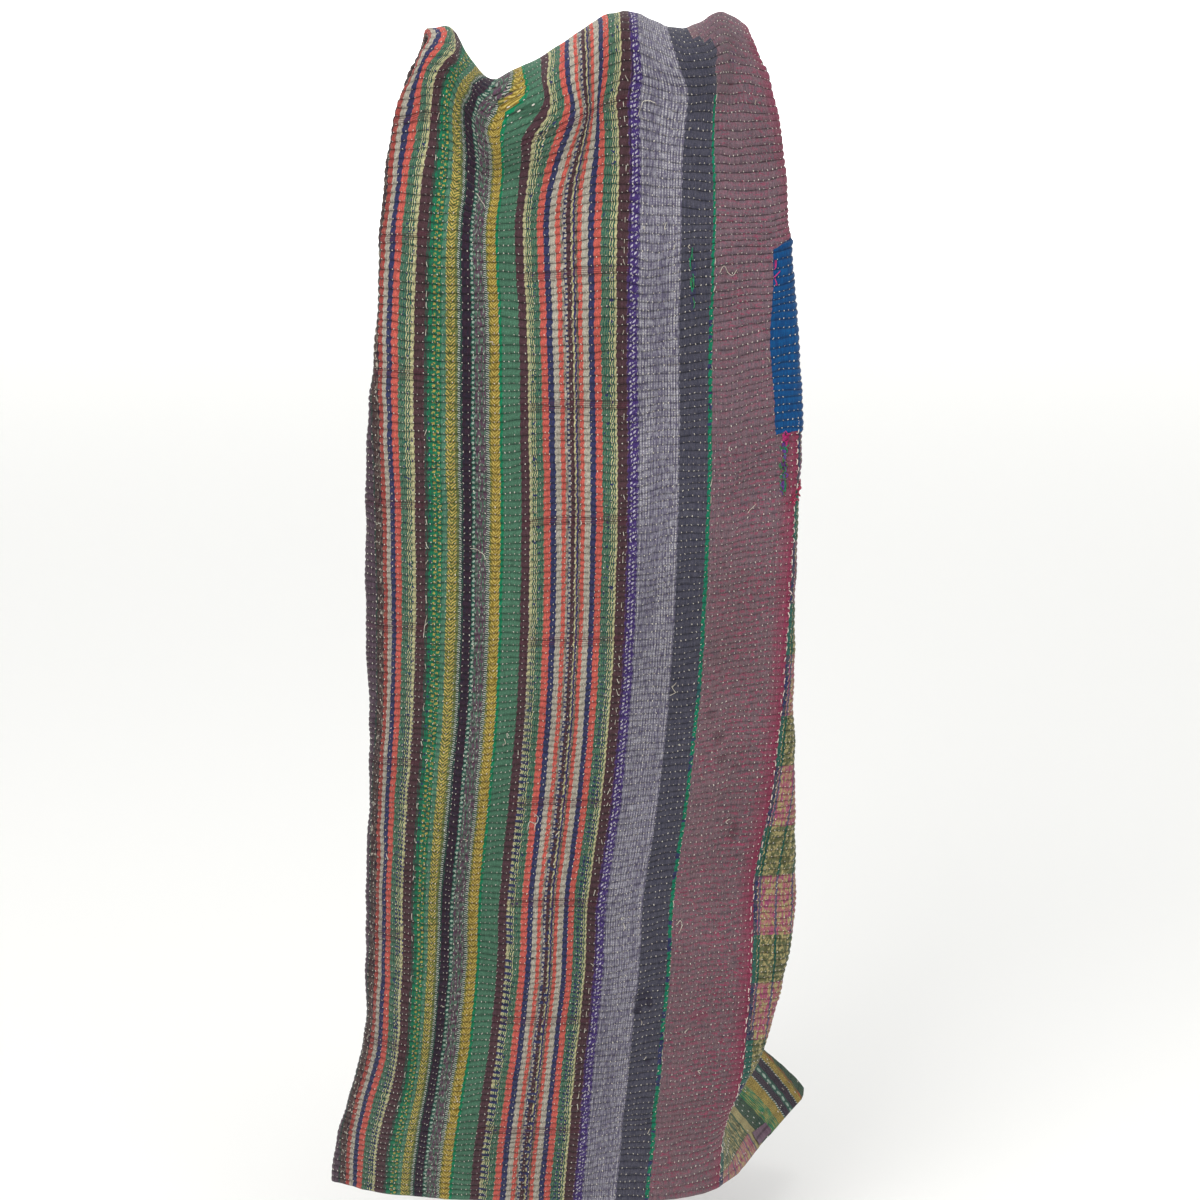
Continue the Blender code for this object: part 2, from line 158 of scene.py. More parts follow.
def heading(places, s):      # which way the cloth runs in plan, in radians from +X
    turned = -np.radians(s["leftBend"]) * np.clip(-places / s["leftFold"], 0, 1) ** s["leftSharp"]
    turned += np.radians(s["rightBend"]) * np.clip(places / s["rightFold"], 0, 1) ** 2
    leftIn = (-places - s["leftFold"]) / leftArc + 0.5
    rightIn = (places - s["rightFold"]) / s["rightSpread"] + 0.5
    turned -= math.pi * np.clip(leftIn, 0, 1)
    turned += np.radians(s["rightTurn"]) * np.clip(rightIn, 0, 1)
    beyond = np.clip(rightIn - 1, 0, None) * s["rightSpread"]
    turned += np.radians(s["rightRoll"]) * smooth(rightIn) * np.exp(-(beyond / cloth["rollReach"]) ** 2)
    return turned


def layBehind(curve, fine, turned, places, gap):
    normal = np.stack([-np.sin(turned), np.cos(turned)], axis=1)
    return np.stack([np.interp(places, fine, curve[:, k] + gap * normal[:, k]) for k in (0, 1)], axis=1)


def section(s, places):      # x across, and how far behind the front plane
    fine = np.linspace(-cloth["leftReach"], cloth["rightReach"], 2141)
    turned = heading(fine, s)
    middle = (turned[1:] + turned[:-1]) / 2
    curve = np.stack([np.cumsum(np.append(0, np.cos(middle))),
                      np.cumsum(np.append(0, np.sin(middle)))], axis=1) * (fine[1] - fine[0])
    curve -= curve[np.searchsorted(fine, 0.0)]
    leftOuter, leftInner = -s["leftFold"] - leftArc / 2, -s["leftFold"] + leftArc / 2
    rightInner = s["rightFold"] - s["rightSpread"] / 2
    rightOuter = s["rightFold"] + s["rightSpread"] / 2
    laid = curve.copy()
    left = fine < leftOuter
    away = leftOuter - fine[left]
    laid[left] = layBehind(curve, fine, turned, leftInner + away, 2 * cloth["leftTuck"])
    laid[left, 1] += cloth["sideSlack"] * smooth(away / cloth["slackReach"])
    right = fine > rightOuter
    behind = layBehind(curve, fine, turned, rightInner + rightOuter - fine[right],
                       2 * s["rightSpread"] / math.pi)
    laid[right] += smooth((s["rightTurn"] - 155) / 25) * (behind - curve[right])
    for side, name in ((-1, "leftX"), (1, "rightX")):
        held = 1.0 if side < 0 else smooth((s["rightTurn"] - 92) / 30)
        gather = 1 + held * ((s[name] - s["seamX"]) * side / (laid[:, 0] * side).max() - 1)
        laid[:, 0] *= np.where(laid[:, 0] * side > 0, gather, 1)
    return [s[seam] + np.interp(places, fine, laid[:, k]) for k, seam in enumerate(("seamX", "seamY"))]


def hang(along):             # height, y of the front plane, and which way is in
    r, straight = cloth["bendRadius"], cloth["frontDrop"] - cloth["bendRadius"]
    if along <= straight:
        return -cloth["frontDrop"] + along, -r, np.array([0.0, 1.0, 0.0])
    if along <= overTop:
        angle = (along - straight) / r
        return (-r + r * math.sin(angle), -r * math.cos(angle),
                np.array([0.0, math.cos(angle), -math.sin(angle)]))
    return -r - (along - overTop), r, np.array([0.0, -1.0, 0.0])


def gathered(x, z):          # the gather table, a little smoothed
    heights, *_ = zip(*gatherTable)
    shifts = np.array([row[1:] for row in gatherTable]) / 1000
    total = 0.0
    for shiftZ in (-0.006, 0.0, 0.006):
        down = np.interp(-(z + shiftZ), -np.array(heights), np.arange(len(heights)))
        low = np.clip(down.astype(int), 0, len(heights) - 2)
        for shiftX in (-0.006, 0.0, 0.006):
            across = np.interp(x + shiftX, gatherPlaces, np.arange(len(gatherPlaces)))
            left = np.clip(across.astype(int), 0, len(gatherPlaces) - 2)
            upper, lower = [shifts[row, left] + (across - left) * (shifts[row, left + 1] - shifts[row, left])
                            for row in (low, low + 1)]
            total = total + upper + (down - low) * (lower - upper)
    return total / 9


def settle(points):          # the soft troughs and ridges, then the sag of the top fold and its crease
    x, y, z = points.T
    moved = points.copy()
    frontShare = smooth((cloth["backEdge"] - y) / (cloth["backEdge"] - cloth["frontEdge"]))
    for row in foldTable:
        fold = dict(zip(foldNames, row))
        offX = (x - fold["x"] - fold["lean"] * (z - fold["z"])) / fold["reachX"]
        offZ = (z - fold["z"]) / fold["reachZ"]
        weight = np.exp(-offX ** 2 - offZ ** 2)
        moved[:, 0] += fold["pushX"] * weight
        moved[:, 1] += fold["pushY"] * weight * np.where(fold["z"] > cloth["topFolds"], 1.0, frontShare)
    step = cloth["step"]
    share = 0.5 + 0.5 * np.tanh((x - step["x"]) / step["wide"])
    moved[:, 1] += step["back"] * share * np.exp(-((z - step["z"]) / step["tall"]) ** 2)
    fade = np.exp(-(np.minimum(z, 0) / cloth["ridgeFade"]) ** 2)
    moved[:, 0] += gathered(x, z) * frontShare
    above = z + eased(moved[:, 0], ridgeX, ridgeRise, cloth["ridgeEase"]) * fade
    above = above - np.interp(moved[:, 0], crease["x"], crease["z"])
    shift = np.interp(moved[:, 0], crease["x"], crease["shift"])
    held = smooth(shift / 0.006) * frontShare * np.exp(-np.abs(above) / crease["soft"])
    moved[:, 1] += held * np.where(above < 0, crease["behind"], -crease["over"])
    pull = shift * np.exp(np.minimum(above, 0) / crease["fall"])
    moved[:, 0] -= np.where(above < 0, pull, 0.0) * frontShare
    moved[:, 2] += eased(moved[:, 0], ridgeX, ridgeRise, cloth["ridgeEase"]) * fade
    return moved


def clothRow(along, places):
    z, planeY, inward = hang(along)
    s = readTable(z)
    if along > overTop - cloth["bendRadius"] * math.pi / 2:
        s = readTable(max(z, cloth["plainHeight"]))
        level = cloth["alignHeight"]
        flat = 1 - (1 - cloth["backFlat"]) * smooth((z - level) / (cloth["plainHeight"] - level))
        s.update(leftBend=s["leftBend"] * flat, rightBend=s["rightBend"] * flat)
    x, depth = section(s, places)
    base = np.stack([x, np.full_like(x, planeY), np.full_like(x, z)], axis=1)
    laid = settle(base + depth[:, None] * inward)
    # the left side's return stays clear of the deep valley in the front, and of the bend near the hem
    offX, offZ = (laid[:, 0] - cloth["valleyX"]) / 0.055, (laid[:, 2] - cloth["valleyZ"]) / 0.10
    clear = cloth["clearOfValley"] * np.exp(-offX ** 2 - offZ ** 2)
    clear = clear + cloth["clearOfHem"] * smooth((0.40 - along) / 0.1)
    clear = clear * smooth((-0.280 - places) / 0.02)
    return laid + clear[:, None] * inward


def outward(grid):
    out = np.cross(np.gradient(grid, axis=1), np.gradient(grid, axis=0))
    return out / np.maximum(np.linalg.norm(out, axis=2, keepdims=True), 1e-12)


def unevenness(u, v, size, seed, waves=6):     # soft, irregular, from -1 to 1 or so
    rng = np.random.default_rng(seed)
    total = 0.0
    for _ in range(waves):
        angle, length, phase = rng.uniform(0, math.pi), size * rng.uniform(0.6, 1.7), rng.uniform(0, 6.28)
        way = u * math.cos(angle) + v * math.sin(angle)
        total = total + np.sin(fullTurn * way / length + phase)
    return total / math.sqrt(waves)


# the cloth's surface, with a row of the mesh on each ridge, groove and flank of the puckers
def pitchAt(v):
    return np.interp(v, *zip(*pitchTable))


lengths = np.linspace(0, clothLong, 4001)
counted = np.append(0, np.cumsum(np.diff(lengths) / pitchAt((lengths[1:] + lengths[:-1]) / 2)))
lastRow = round(counted[-1])
rowCount = lastRow * 4 + 1
level = np.interp(np.linspace(0, counted[-1], rowCount), counted, lengths)
frontRows = int(np.searchsorted(level, cloth["frontUpTo"]))
# the mesh's columns, closer where the cloth folds: from this place, so many up to the next
columnTable = [(-0.640, 16), (-0.292, 15), (-0.235, 55), (0.072, 7), (0.088, 9), (0.140, 19), (0.235, 20)]
columnEnds = [start for start, count in columnTable[1:]] + [cloth["rightReach"]]
columns = np.concatenate([np.linspace(start, end, count, endpoint=False)
                          for (start, count), end in zip(columnTable, columnEnds)] + [[cloth["rightReach"]]])
smoothCloth = np.stack([clothRow(v, columns) for v in level])
gridU, gridV = np.meshgrid(columns, level)


# how the rows of stitches stray: they rise to both sides, and near the top only on the mauve
straying = {"rise": 0.15, "leftRise": 0.05, "start": 0.011, "startAtTop": 0.075, "end": 0.161,
            "slateFall": 0.36, "slate": (0.047, 0.080), "dip": 0.0035, "dipAt": 0.092,
            "waves": ((0.0019, 0.115, 3), (0.0009, 0.048, 4), (0.0005, 0.022, 5))}


def drift(u, v):             # how far the rows of stitches stray along the cloth
    row = straying
    start = row["start"] + (row["startAtTop"] - row["start"]) * smooth((v - 0.98) / 0.12)
    rise = row["rise"] * np.clip(u - start, 0, row["end"] - start)
    rise = (rise + row["leftRise"] * np.clip(-u - 0.16, 0, 0.10)) * (1 - 0.85 * smooth((v - 1.13) / 0.07))
    low, high = row["slate"]
    rise = rise - row["slateFall"] * np.clip(u - low, 0, high - low) * smooth((v - 0.96) / 0.12)
    dip = -row["dip"] * np.exp(-((u - row["dipAt"]) / 0.012) ** 2)
    wandering = sum(size * unevenness(u, v, reach, seed) for size, reach, seed in row["waves"])
    ends = smooth(v / 0.05) * smooth((clothLong - v) / 0.05)
    corner = smooth((u - cloth["rightReach"]) / cloth["cornerReach"] + 1) ** 2
    corner = corner * np.exp(-(v / 0.03) ** 2) * cloth["cornerLift"]
    return (rise + dip * (0.5 + 0.5 * unevenness(u * 0, v, 0.3, 6)) + wandering) * ends + corner


# how far the stripes stray across the cloth, in mm: along the cloth, and then at each of these places
wanderPlaces = (-0.235, -0.200, -0.169, -0.140, -0.107, -0.077, -0.037, 0.0, 0.047, 0.079, 0.161, 0.240)
wanderTable = [
    (0.063, -2.4, -0.8, -2.6, -2.4, -0.6, 1.0, 2.6, 4.0, 0.8, 4.1, 8.0, 0.0),
    (0.180, -1.0, -1.5, -3.5, -2.6, -1.0, 0.8, 1.2, 1.2, -1.0, 0.0, 5.0, 0.0),
    (0.311, 0.3, -1.8, -4.5, -2.7, -1.3, 0.6, -0.3, -1.4, -2.4, -3.2, -1.0, 0.0),
    (0.355, 0.4, -1.5, -3.0, -2.0, -0.6, 0.8, 0.0, -1.0, -1.5, -2.5, -4.0, 0.0),
    (0.440, 0.7, -1.0, 0.0, 0.0, 0.5, 1.2, 0.4, -0.2, 0.2, -1.0, 4.5, 0.0),
    (0.638, 1.1, -0.1, 3.1, 1.8, 1.9, 1.9, 1.0, 1.0, 2.3, 0.6, 3.0, 0.0),
    (0.936, 0.8, 2.7, 3.9, 3.3, -0.1, -3.7, -3.2, -2.8, -0.7, -1.5, 3.0, 0.0),
    (1.068, 8.5, 7.0, 5.4, -1.6, -6.2, -7.7, -3.0, 0.4, 2.8, 4.1, 3.0, 0.0),
    (1.139, 5.0, 2.5, 1.0, 0.0, -1.5, -2.0, 0.0, 0.0, 1.5, 2.0, 0.0, 0.0),
    (1.167, 3.0, 0.5, 0.0, 0.0, 0.0, 0.0, 0.0, 0.0, 0.5, 1.0, 0.0, 0.0),
    (1.200, 0.0, 0.0, 0.0, 0.0, 0.0, 0.0, 0.0, 0.0, 0.0, 0.0, 0.0, 0.0),
]


def wander(u, v):
    heights, *strays = [np.array(column) for column in zip(*wanderTable)]
    byPlace = np.stack([eased(v[:, 0], heights, stray, 0.03) for stray in strays], axis=1) / 1000
    byColumn = np.stack([np.interp(u[0], wanderPlaces, row) for row in byPlace])
    spread = np.interp(u[0], (0.335, 0.365, 0.430), (0.0, 0.009, 0.021))     # the flap's bands, above its hem
    return byColumn + smooth(v[:, :1] / 0.045) * spread


along = np.clip(gridV + drift(gridU, gridV), 0, clothLong)
strayed = np.empty_like(smoothCloth)
for c in range(len(columns)):
    for axis in range(3):
        strayed[:, c, axis] = np.interp(along[:, c], level, smoothCloth[:, c, axis])
puff = np.array([-0.62, 0.12, 0.50, 0.30])[np.arange(rowCount) % 4][:, None]     # groove, flank, ridge, flank
fullness = 0.85 + 0.22 * unevenness(gridU, gridV, 0.060, 7) + 0.18 * unevenness(gridU, gridV, 0.017, 8)
fullness *= 1 + 0.25 * smooth((gridU + 0.01) / 0.03) - 0.25 * smooth((0.35 - gridV) / 0.3)
fullness *= (pitchAt(gridV) / 0.0088) ** 0.6


def onFlap(u, v):            # 1 on the side that is turned away, where the stitches are few and flat
    return smooth((u - 0.215) / 0.03) * smooth((0.20 - v) / 0.06)


fullness *= 1 - 0.7 * onFlap(gridU, gridV)
lumps = 0.0007 * unevenness(gridU, gridV, 0.050, 9) + 0.0005 * unevenness(gridU, gridV, 0.026, 10)
clothFace = strayed + outward(strayed) * (cloth["pucker"] * fullness * puff + lumps)[:, :, None]
clothOut = outward(clothFace)
print("cloth surface", clothFace.shape, "with", lastRow, "rows of stitches")


def onCloth(u, row, lift):   # points on the surface; row counts the rows of stitches from the hem
    c = np.clip(np.interp(u, columns, np.arange(len(columns))), 0, len(columns) - 1.001)
    r = np.clip(np.asarray(row) * 4, 0, rowCount - 1.001)
    c0, r0 = np.floor(c).astype(int), np.floor(r).astype(int)
    fc, fr = (c - c0)[..., None], (r - r0)[..., None]
    found = []
    for grid in (clothFace, clothOut):
        low = grid[r0, c0] * (1 - fc) + grid[r0, c0 + 1] * fc
        high = grid[r0 + 1, c0] * (1 - fc) + grid[r0 + 1, c0 + 1] * fc
        found.append(low * (1 - fr) + high * fr)
    return found[0] + found[1] * np.asarray(lift)[..., None]


def rowAt(u, v):             # the row of stitches that a place along the cloth is on
    u, v = np.asarray(u), np.asarray(v)
    return np.interp(v - drift(u, v), level, np.arange(rowCount) / 4)


def lengthAt(row):           # and how far along the cloth a row is
    return np.interp(np.asarray(row) * 4, np.arange(rowCount), level)


def meshFrom(name, points, faces, material, maps=None, normals=None):
    mesh = bpy.data.meshes.new(name)
    mesh.from_pydata(points.reshape(-1, 3).tolist(), [], faces)
    mesh.update()
    mesh.shade_smooth()
    corners = np.empty(len(mesh.loops), dtype=np.int32)
    mesh.loops.foreach_get("vertex_index", corners)
    for mapName, values in (maps or {}).items():
        layer = mesh.uv_layers.new(name=mapName)
        layer.uv.foreach_set("vector", values.reshape(-1, 2)[corners].astype(np.float32).ravel())
    if normals is not None:
        mesh.normals_split_custom_set_from_vertices(normals.reshape(-1, 3).tolist())
    mesh.materials.append(material)
    made = bpy.data.objects.new(name, mesh)
    scene.collection.objects.link(made)
    return made


def gridFaces(rows, across, flip=False):
    start = (np.arange(rows - 1)[:, None] * across + np.arange(across - 1)).ravel()
    quads = np.stack([start, start + 1, start + 1 + across, start + across], axis=1)
    return (quads[:, ::-1] if flip else quads).tolist()


# fabrics
def ink(red, green, blue):   # a colour as seen, for the shader
    return tuple(c / 12.92 if c <= 0.04045 else ((c + 0.055) / 1.055) ** 2.4
                 for c in (red / 255, green / 255, blue / 255)) + (1.0,)


def setInputs(node, values):
    for name, value in values.items():
        node.inputs[name].default_value = value


class Wire:                  # a value inside a material, to reckon with as if it were a number
    def __init__(self, fabric, socket):
        self.fabric, self.socket = fabric, socket

    def __add__(self, other):
        return self.fabric.sums("ADD", self, other)

    def __sub__(self, other):
        return self.fabric.sums("SUBTRACT", self, other)

    def __rsub__(self, other):
        return self.fabric.sums("SUBTRACT", other, self)

    def __mul__(self, other):
        return self.fabric.sums("MULTIPLY", self, other)

    def __truediv__(self, other):
        return self.fabric.sums("DIVIDE", self, other)

    def __lt__(self, other):
        return self.fabric.sums("LESS_THAN", self, other)

    def __gt__(self, other):
        return self.fabric.sums("GREATER_THAN", self, other)

    def __abs__(self):
        return self.fabric.sums("ABSOLUTE", self)


class Fabric:                # one cotton's material, and short ways to add its nodes
    def __init__(self, name, roughness=0.9, sheen=0.15):
        self.material = bpy.data.materials.new(name)
        self.material.use_nodes = True
        self.nodes = self.material.node_tree.nodes
        self.links = self.material.node_tree.links
        self.shader = self.nodes["Principled BSDF"]
        setInputs(self.shader, {"Roughness": roughness, "Sheen Weight": sheen, "Sheen Roughness": 0.5,
                                "Specular IOR Level": 0.25})

    def put(self, value, socket):
        value = getattr(value, "socket", value)
        if isinstance(value, bpy.types.NodeSocket):
            self.links.new(value, socket)
        else:
            socket.default_value = value

    def sums(self, how, *values):
        node = self.nodes.new("ShaderNodeMath")
        node.operation = how
        for n, value in enumerate(values):
            self.put(value, node.inputs[n])
        return Wire(self, node.outputs[0])

    def most(self, first, *others):
        for other in others:
            first = self.sums("MAXIMUM", first, other)
        return first

    def within(self, value, low, high):          # 1 from low to high, else 0
        return (value > low) * (value < high)

    def repeat(self, value, every):              # from 0 to 1 in each repeat
        return self.sums("FRACT", value / every)

    def pingpong(self, value, reach):            # up to reach and back again
        return self.sums("PINGPONG", value, reach)

    def blendOf(self, share, a, b, how="MIX"):
        node = self.nodes.new("ShaderNodeMix")
        node.data_type, node.blend_type = "RGBA", how
        for n, value in ((0, share), (6, a), (7, b)):
            self.put(value, node.inputs[n])
        return Wire(self, node.outputs[2])

    def between(self, value, low, high, toLow=0.0, toHigh=1.0):
        node = self.nodes.new("ShaderNodeMapRange")
        node.interpolation_type = "SMOOTHSTEP"
        for n, part in enumerate((value, low, high, toLow, toHigh)):
            self.put(part, node.inputs[n])
        return Wire(self, node.outputs[0])

    def mapAt(self, name):
        node = self.nodes.new("ShaderNodeUVMap")
        node.uv_map = name
        parts = self.nodes.new("ShaderNodeSeparateXYZ")
        self.put(node.outputs[0], parts.inputs[0])
        return Wire(self, parts.outputs[0]), Wire(self, parts.outputs[1])

    def speckle(self, u, v, perU, perV, seed=0.0, detail=1):
        place = self.nodes.new("ShaderNodeCombineXYZ")
        for n, value in enumerate((u * perU, v * perV, seed)):
            self.put(value, place.inputs[n])
        node = self.nodes.new("ShaderNodeTexNoise")
        self.put(place.outputs[0], node.inputs["Vector"])
        setInputs(node, {"Scale": 1.0, "Detail": detail})
        return Wire(self, node.outputs[0])

    def ramp(self, at, low, high, places, tints):        # each tint from its place up to the next
        node = self.nodes.new("ShaderNodeValToRGB")
        node.color_ramp.interpolation = "CONSTANT"
        self.put((at - low) / (high - low), node.inputs[0])
        elements = node.color_ramp.elements
        while len(elements) > 1:
            elements.remove(elements[-1])
        for n, (place, tint) in enumerate(zip(places, tints)):
            spot = 0.0 if n == 0 else (place - low) / (high - low)
            element = elements[0] if n == 0 else elements.new(spot)
            element.position, element.color = spot, tint
        return node.outputs[0]

    def shaded(self, colour, light):
        shade = self.nodes.new("ShaderNodeCombineColor")
        for n in range(3):
            self.put(light, shade.inputs[n])
        return self.blendOf(1.0, colour, shade.outputs[0], "MULTIPLY")

    def addBump(self, height, distance, strength=0.9):
        node = self.nodes.new("ShaderNodeBump")
        setInputs(node, {"Strength": strength, "Distance": distance})
        self.put(height, node.inputs["Height"])
        self.put(node.outputs[0], self.shader.inputs["Normal"])


colours = {
    "coral": (216, 102, 90), "rust": (180, 72, 66), "navy": (50, 55, 100), "cream": (192, 185, 170),
    "greyBrown": (140, 128, 112), "teal": (34, 100, 84), "midGreen": (26, 90, 76),
    "paleYellow": (208, 202, 152), "green": (6, 124, 84), "brightGreen": (0, 146, 98),
    "deepGreen": (46, 84, 70), "meadow": (76, 122, 97), "greyGreen": (86, 136, 110),
    "paleGreen": (170, 190, 174), "brown": (76, 51, 55), "plum": (86, 57, 66),
    "mauvePlum": (100, 68, 90), "darkPurple": (54, 31, 50), "night": (36, 30, 50),
    "gold": (208, 184, 98), "mustard": (146, 122, 38), "leaf": (94, 108, 52), "paleGold": (182, 162, 80),
    "moss": (112, 122, 76), "white": (214, 214, 204), "violet": (70, 49, 116), "lavender": (100, 94, 118),
    "paleViolet": (196, 190, 206), "coolGrey": (150, 148, 160), "paleThread": (212, 210, 212),
    "slate": (80, 79, 93), "darkSlate": (64, 64, 82), "coolMauve": (102, 92, 112),
    "mauve": (132, 104, 111), "greyMauve": (112, 94, 104), "rose": (168, 62, 96), "crimson": (148, 60, 88),
    "olive": (106, 112, 78), "ochre": (182, 168, 116), "pink": (176, 112, 112), "magenta": (170, 66, 120),
    "panel": (84, 63, 78), "panelThread": (106, 85, 100), "darkGreen": (44, 76, 64),
    "orange": (184, 88, 52), "maroon": (84, 26, 48), "greenLine": (0, 128, 96),
    "dullTeal": (50, 104, 92), "darkOlive": (84, 88, 54), "fernGreen": (60, 82, 60),
}

# From and to across the cloth, and the stripes between. Each runs from its place, in mm, to the next,
# and has a base colour, a second colour and a pattern, which is melange where none is named.
stripeBands = [
    (-0.270, -0.1075,
     "-270 panel panelThread, -259 darkGreen panel, -257 brown greyBrown soft, -252 darkPurple greyBrown,"
     "-249.5 rust greyBrown soft, -245 cream greyBrown soft, -240.2 navy slate soft,"
     "-235.2 coral rust soft, -228.9 teal paleYellow faint, -222.5 midGreen paleYellow lines,"
     "-216.4 paleYellow midGreen faint, -214.1 brown plum, -203.6 deepGreen brown, -200.4 green deepGreen,"
     "-187.6 greyGreen midGreen soft, -183.2 leaf gold braid, -174.6 moss leaf,"
     "-172.0 deepGreen white ladder, -169.4 deepGreen night, -167.8 darkPurple night,"
     "-158.4 midGreen deepGreen, -154.6 mauvePlum meadow, -143.5 deepGreen white ladder,"
     "-140.5 leaf gold faintBraid, -138.4 mustard gold braid, -129.5 green brightGreen,"
     "-126.3 meadow greyGreen faint"),
    (-0.1075, 0.0,
     "-107.5 plum brown, -98.9 paleYellow midGreen faint, -96.6 midGreen paleYellow lines,"
     "-90.4 teal paleYellow faint, -84.0 coral rust soft, -77.5 navy slate soft,"
     "-71.8 cream greyBrown soft, -66.0 coral rust soft, -62.0 greyBrown cream, -60.0 navy cream,"
     "-58.8 cream navy dots, -57.0 plum brown, -52.6 paleYellow greyBrown, -51.2 navy violet,"
     "-49.4 greyBrown brown, -47.0 coral rust soft, -42.9 cream greyBrown soft, -37.1 navy slate soft,"
     "-31.6 coral rust soft, -25.6 teal paleYellow faint, -18.4 midGreen paleYellow lines,"
     "-12.9 paleYellow midGreen faint, -10.8 brown plum, -1.2 mauvePlum violet"),
    (0.0, 0.165,
     "0 violet darkPurple, 1.8 violet paleViolet ikat, 8.2 violet lavender, 9.6 lavender coolGrey,"
     "47.4 slate darkSlate, 75.9 greenLine green, 79.4 mauve greyMauve"),
    (0.165, 0.430,
     "165 olive ochre, 271 ochre olive soft, 288 fernGreen deepGreen, 314 green paleGold,"
     "338 mustard gold faintBraid, 356 midGreen white ladder, 359 darkPurple night,"
     "373 midGreen deepGreen, 383 darkPurple night, 395 midGreen white ladder,"
     "397 mustard gold faintBraid, 409 leaf orange, 413 fernGreen deepGreen"),
]
patternChannels = {      # lines, braid and ikat in one ramp, ladder, dots and melange in the other
    "lines": (1, 0, 0, 0, 0, 0), "faint": (0.20, 0, 0, 0, 0, 0.12), "braid": (0, 1, 0, 0, 0, 0),
    "faintBraid": (0, 0.55, 0, 0, 0, 0), "ikat": (0, 0, 1, 0, 0, 0), "ladder": (0, 0, 0, 1, 0, 0),
    "dots": (0, 0, 0, 0, 1, 0), "melange": (0, 0, 0, 0, 0, 0.9), "soft": (0, 0, 0, 0, 0, 0.3),
}
weave = {
    "braidCentres": (-0.1789, -0.1340, 0.326, 0.347, 0.4055),
    "beads": [       # rows of round dots: across, radius, from one to the next, shift, colour
        (-0.1562, 0.00140, 0.0050, 0.0, "paleGreen"), (0.3780, 0.0022, 0.0060, 0.0, "paleGreen"),
        (0.2960, 0.0010, 0.0070, 0.002, "white"), (0.3050, 0.0010, 0.0070, 0.0, "white"),
    ],
    "marks": [       # small gold marks: across, half width, from one to the next, shift
        (-0.1943, 0.0014, 0.0054, 0.0), (-0.1901, 0.0014, 0.0054, 0.0027),
    ],
    "mends": [       # faint maroon weft bands: from and to across the cloth, and where along it
        (-0.1075, 0.001, (1.160, 1.000, 0.868, 0.752, 0.628, 0.456, 0.348, 0.216, 0.088)),
        (-0.300, -0.200, (1.160, 1.040, 0.904, 0.772, 0.644, 0.500, 0.312, 0.190)),
    ],
    "blockEvery": 0.1185, "blockStart": 0.018, "depth": 0.80,
    # from and to across the cloth, for what is laid over single stripes
    "lavender": (0.0095, 0.0474), "mauve": (0.0794, 0.161), "plaid": (0.165, 0.271),
    "thinGreen": (0.0755, 0.0772), "wholeGreen": (0.0755, 0.0797), "plumStrands": (-0.1546, -0.1440),
    "creamSpecks": (-0.2580, -0.2495), "navyRings": (-0.1995, -0.1975),
    "longTicks": (-0.0990, -0.0915), "middleTicks": (-0.0600, -0.0495),
    "shortTicks": ((-0.0225, -0.0135), (-0.2225, -0.2135)),
    "fineLines": ((-0.0966, -0.0865), (-0.0235, -0.0125), (-0.2255, -0.2150)),
    "stains": [      # across, along, half width, half height, colour, strength
        (0.054, 0.240, 0.010, 0.011, "night", 0.55), (0.050, 0.226, 0.006, 0.004, "night", 0.8),
        (0.066, 0.168, 0.003, 0.004, "night", 0.6), (0.062, 0.234, 0.004, 0.006, "night", 0.6),
        (0.102, 0.524, 0.006, 0.007, "plum", 0.5), (0.108, 0.500, 0.005, 0.005, "plum", 0.5),
        (0.092, 0.548, 0.005, 0.006, "plum", 0.4), (0.130, 0.420, 0.005, 0.012, "plum", 0.5),
        (0.122, 0.492, 0.004, 0.004, "plum", 0.4), (0.112, 0.218, 0.010, 0.006, "crimson", 0.4),
        (-0.070, 0.284, 0.0016, 0.0016, "night", 0.9), (0.060, 0.985, 0.003, 0.030, "navy", 0.5),
    ],
}


class StripedFabric(Fabric):     # the quilt's own cotton, its colours laid one over another
    def __init__(self):
        super().__init__("stripedCotton")
        self.u, self.v = self.mapAt("cloth")
        self.line, self.row = self.mapAt("stitch")
        self.chosen = None
        self.slow = self.noise(30, 26, 3.0) - 0.5
        self.ragged = self.noise(420, 120, 5.0) * 0.0020
        self.lower = self.between(self.v, 0.72, 0.45)
        waves = self.sums("SINE", self.row * fullTurn) * 0.00040
        self.frayed = (self.noise(260, 330) - 0.5) * 0.0013 + self.u + waves + self.slow * 0.0022

    def noise(self, perU, perV, seed=0.0, detail=1):
        return self.speckle(self.u, self.v, perU, perV, seed, detail)

    def mixed(self, share, *pair):       # two colours, each by its name or as nodes
        return self.blendOf(share, *[ink(*colours[c]) if isinstance(c, str) else c for c in pair])

    def dye(self, share, colour):
        self.chosen = self.mixed(share, self.chosen, colour)

    def inside(self, low, high):         # 1 in the stripes from low to high
        return self.within(self.frayed, low, high)


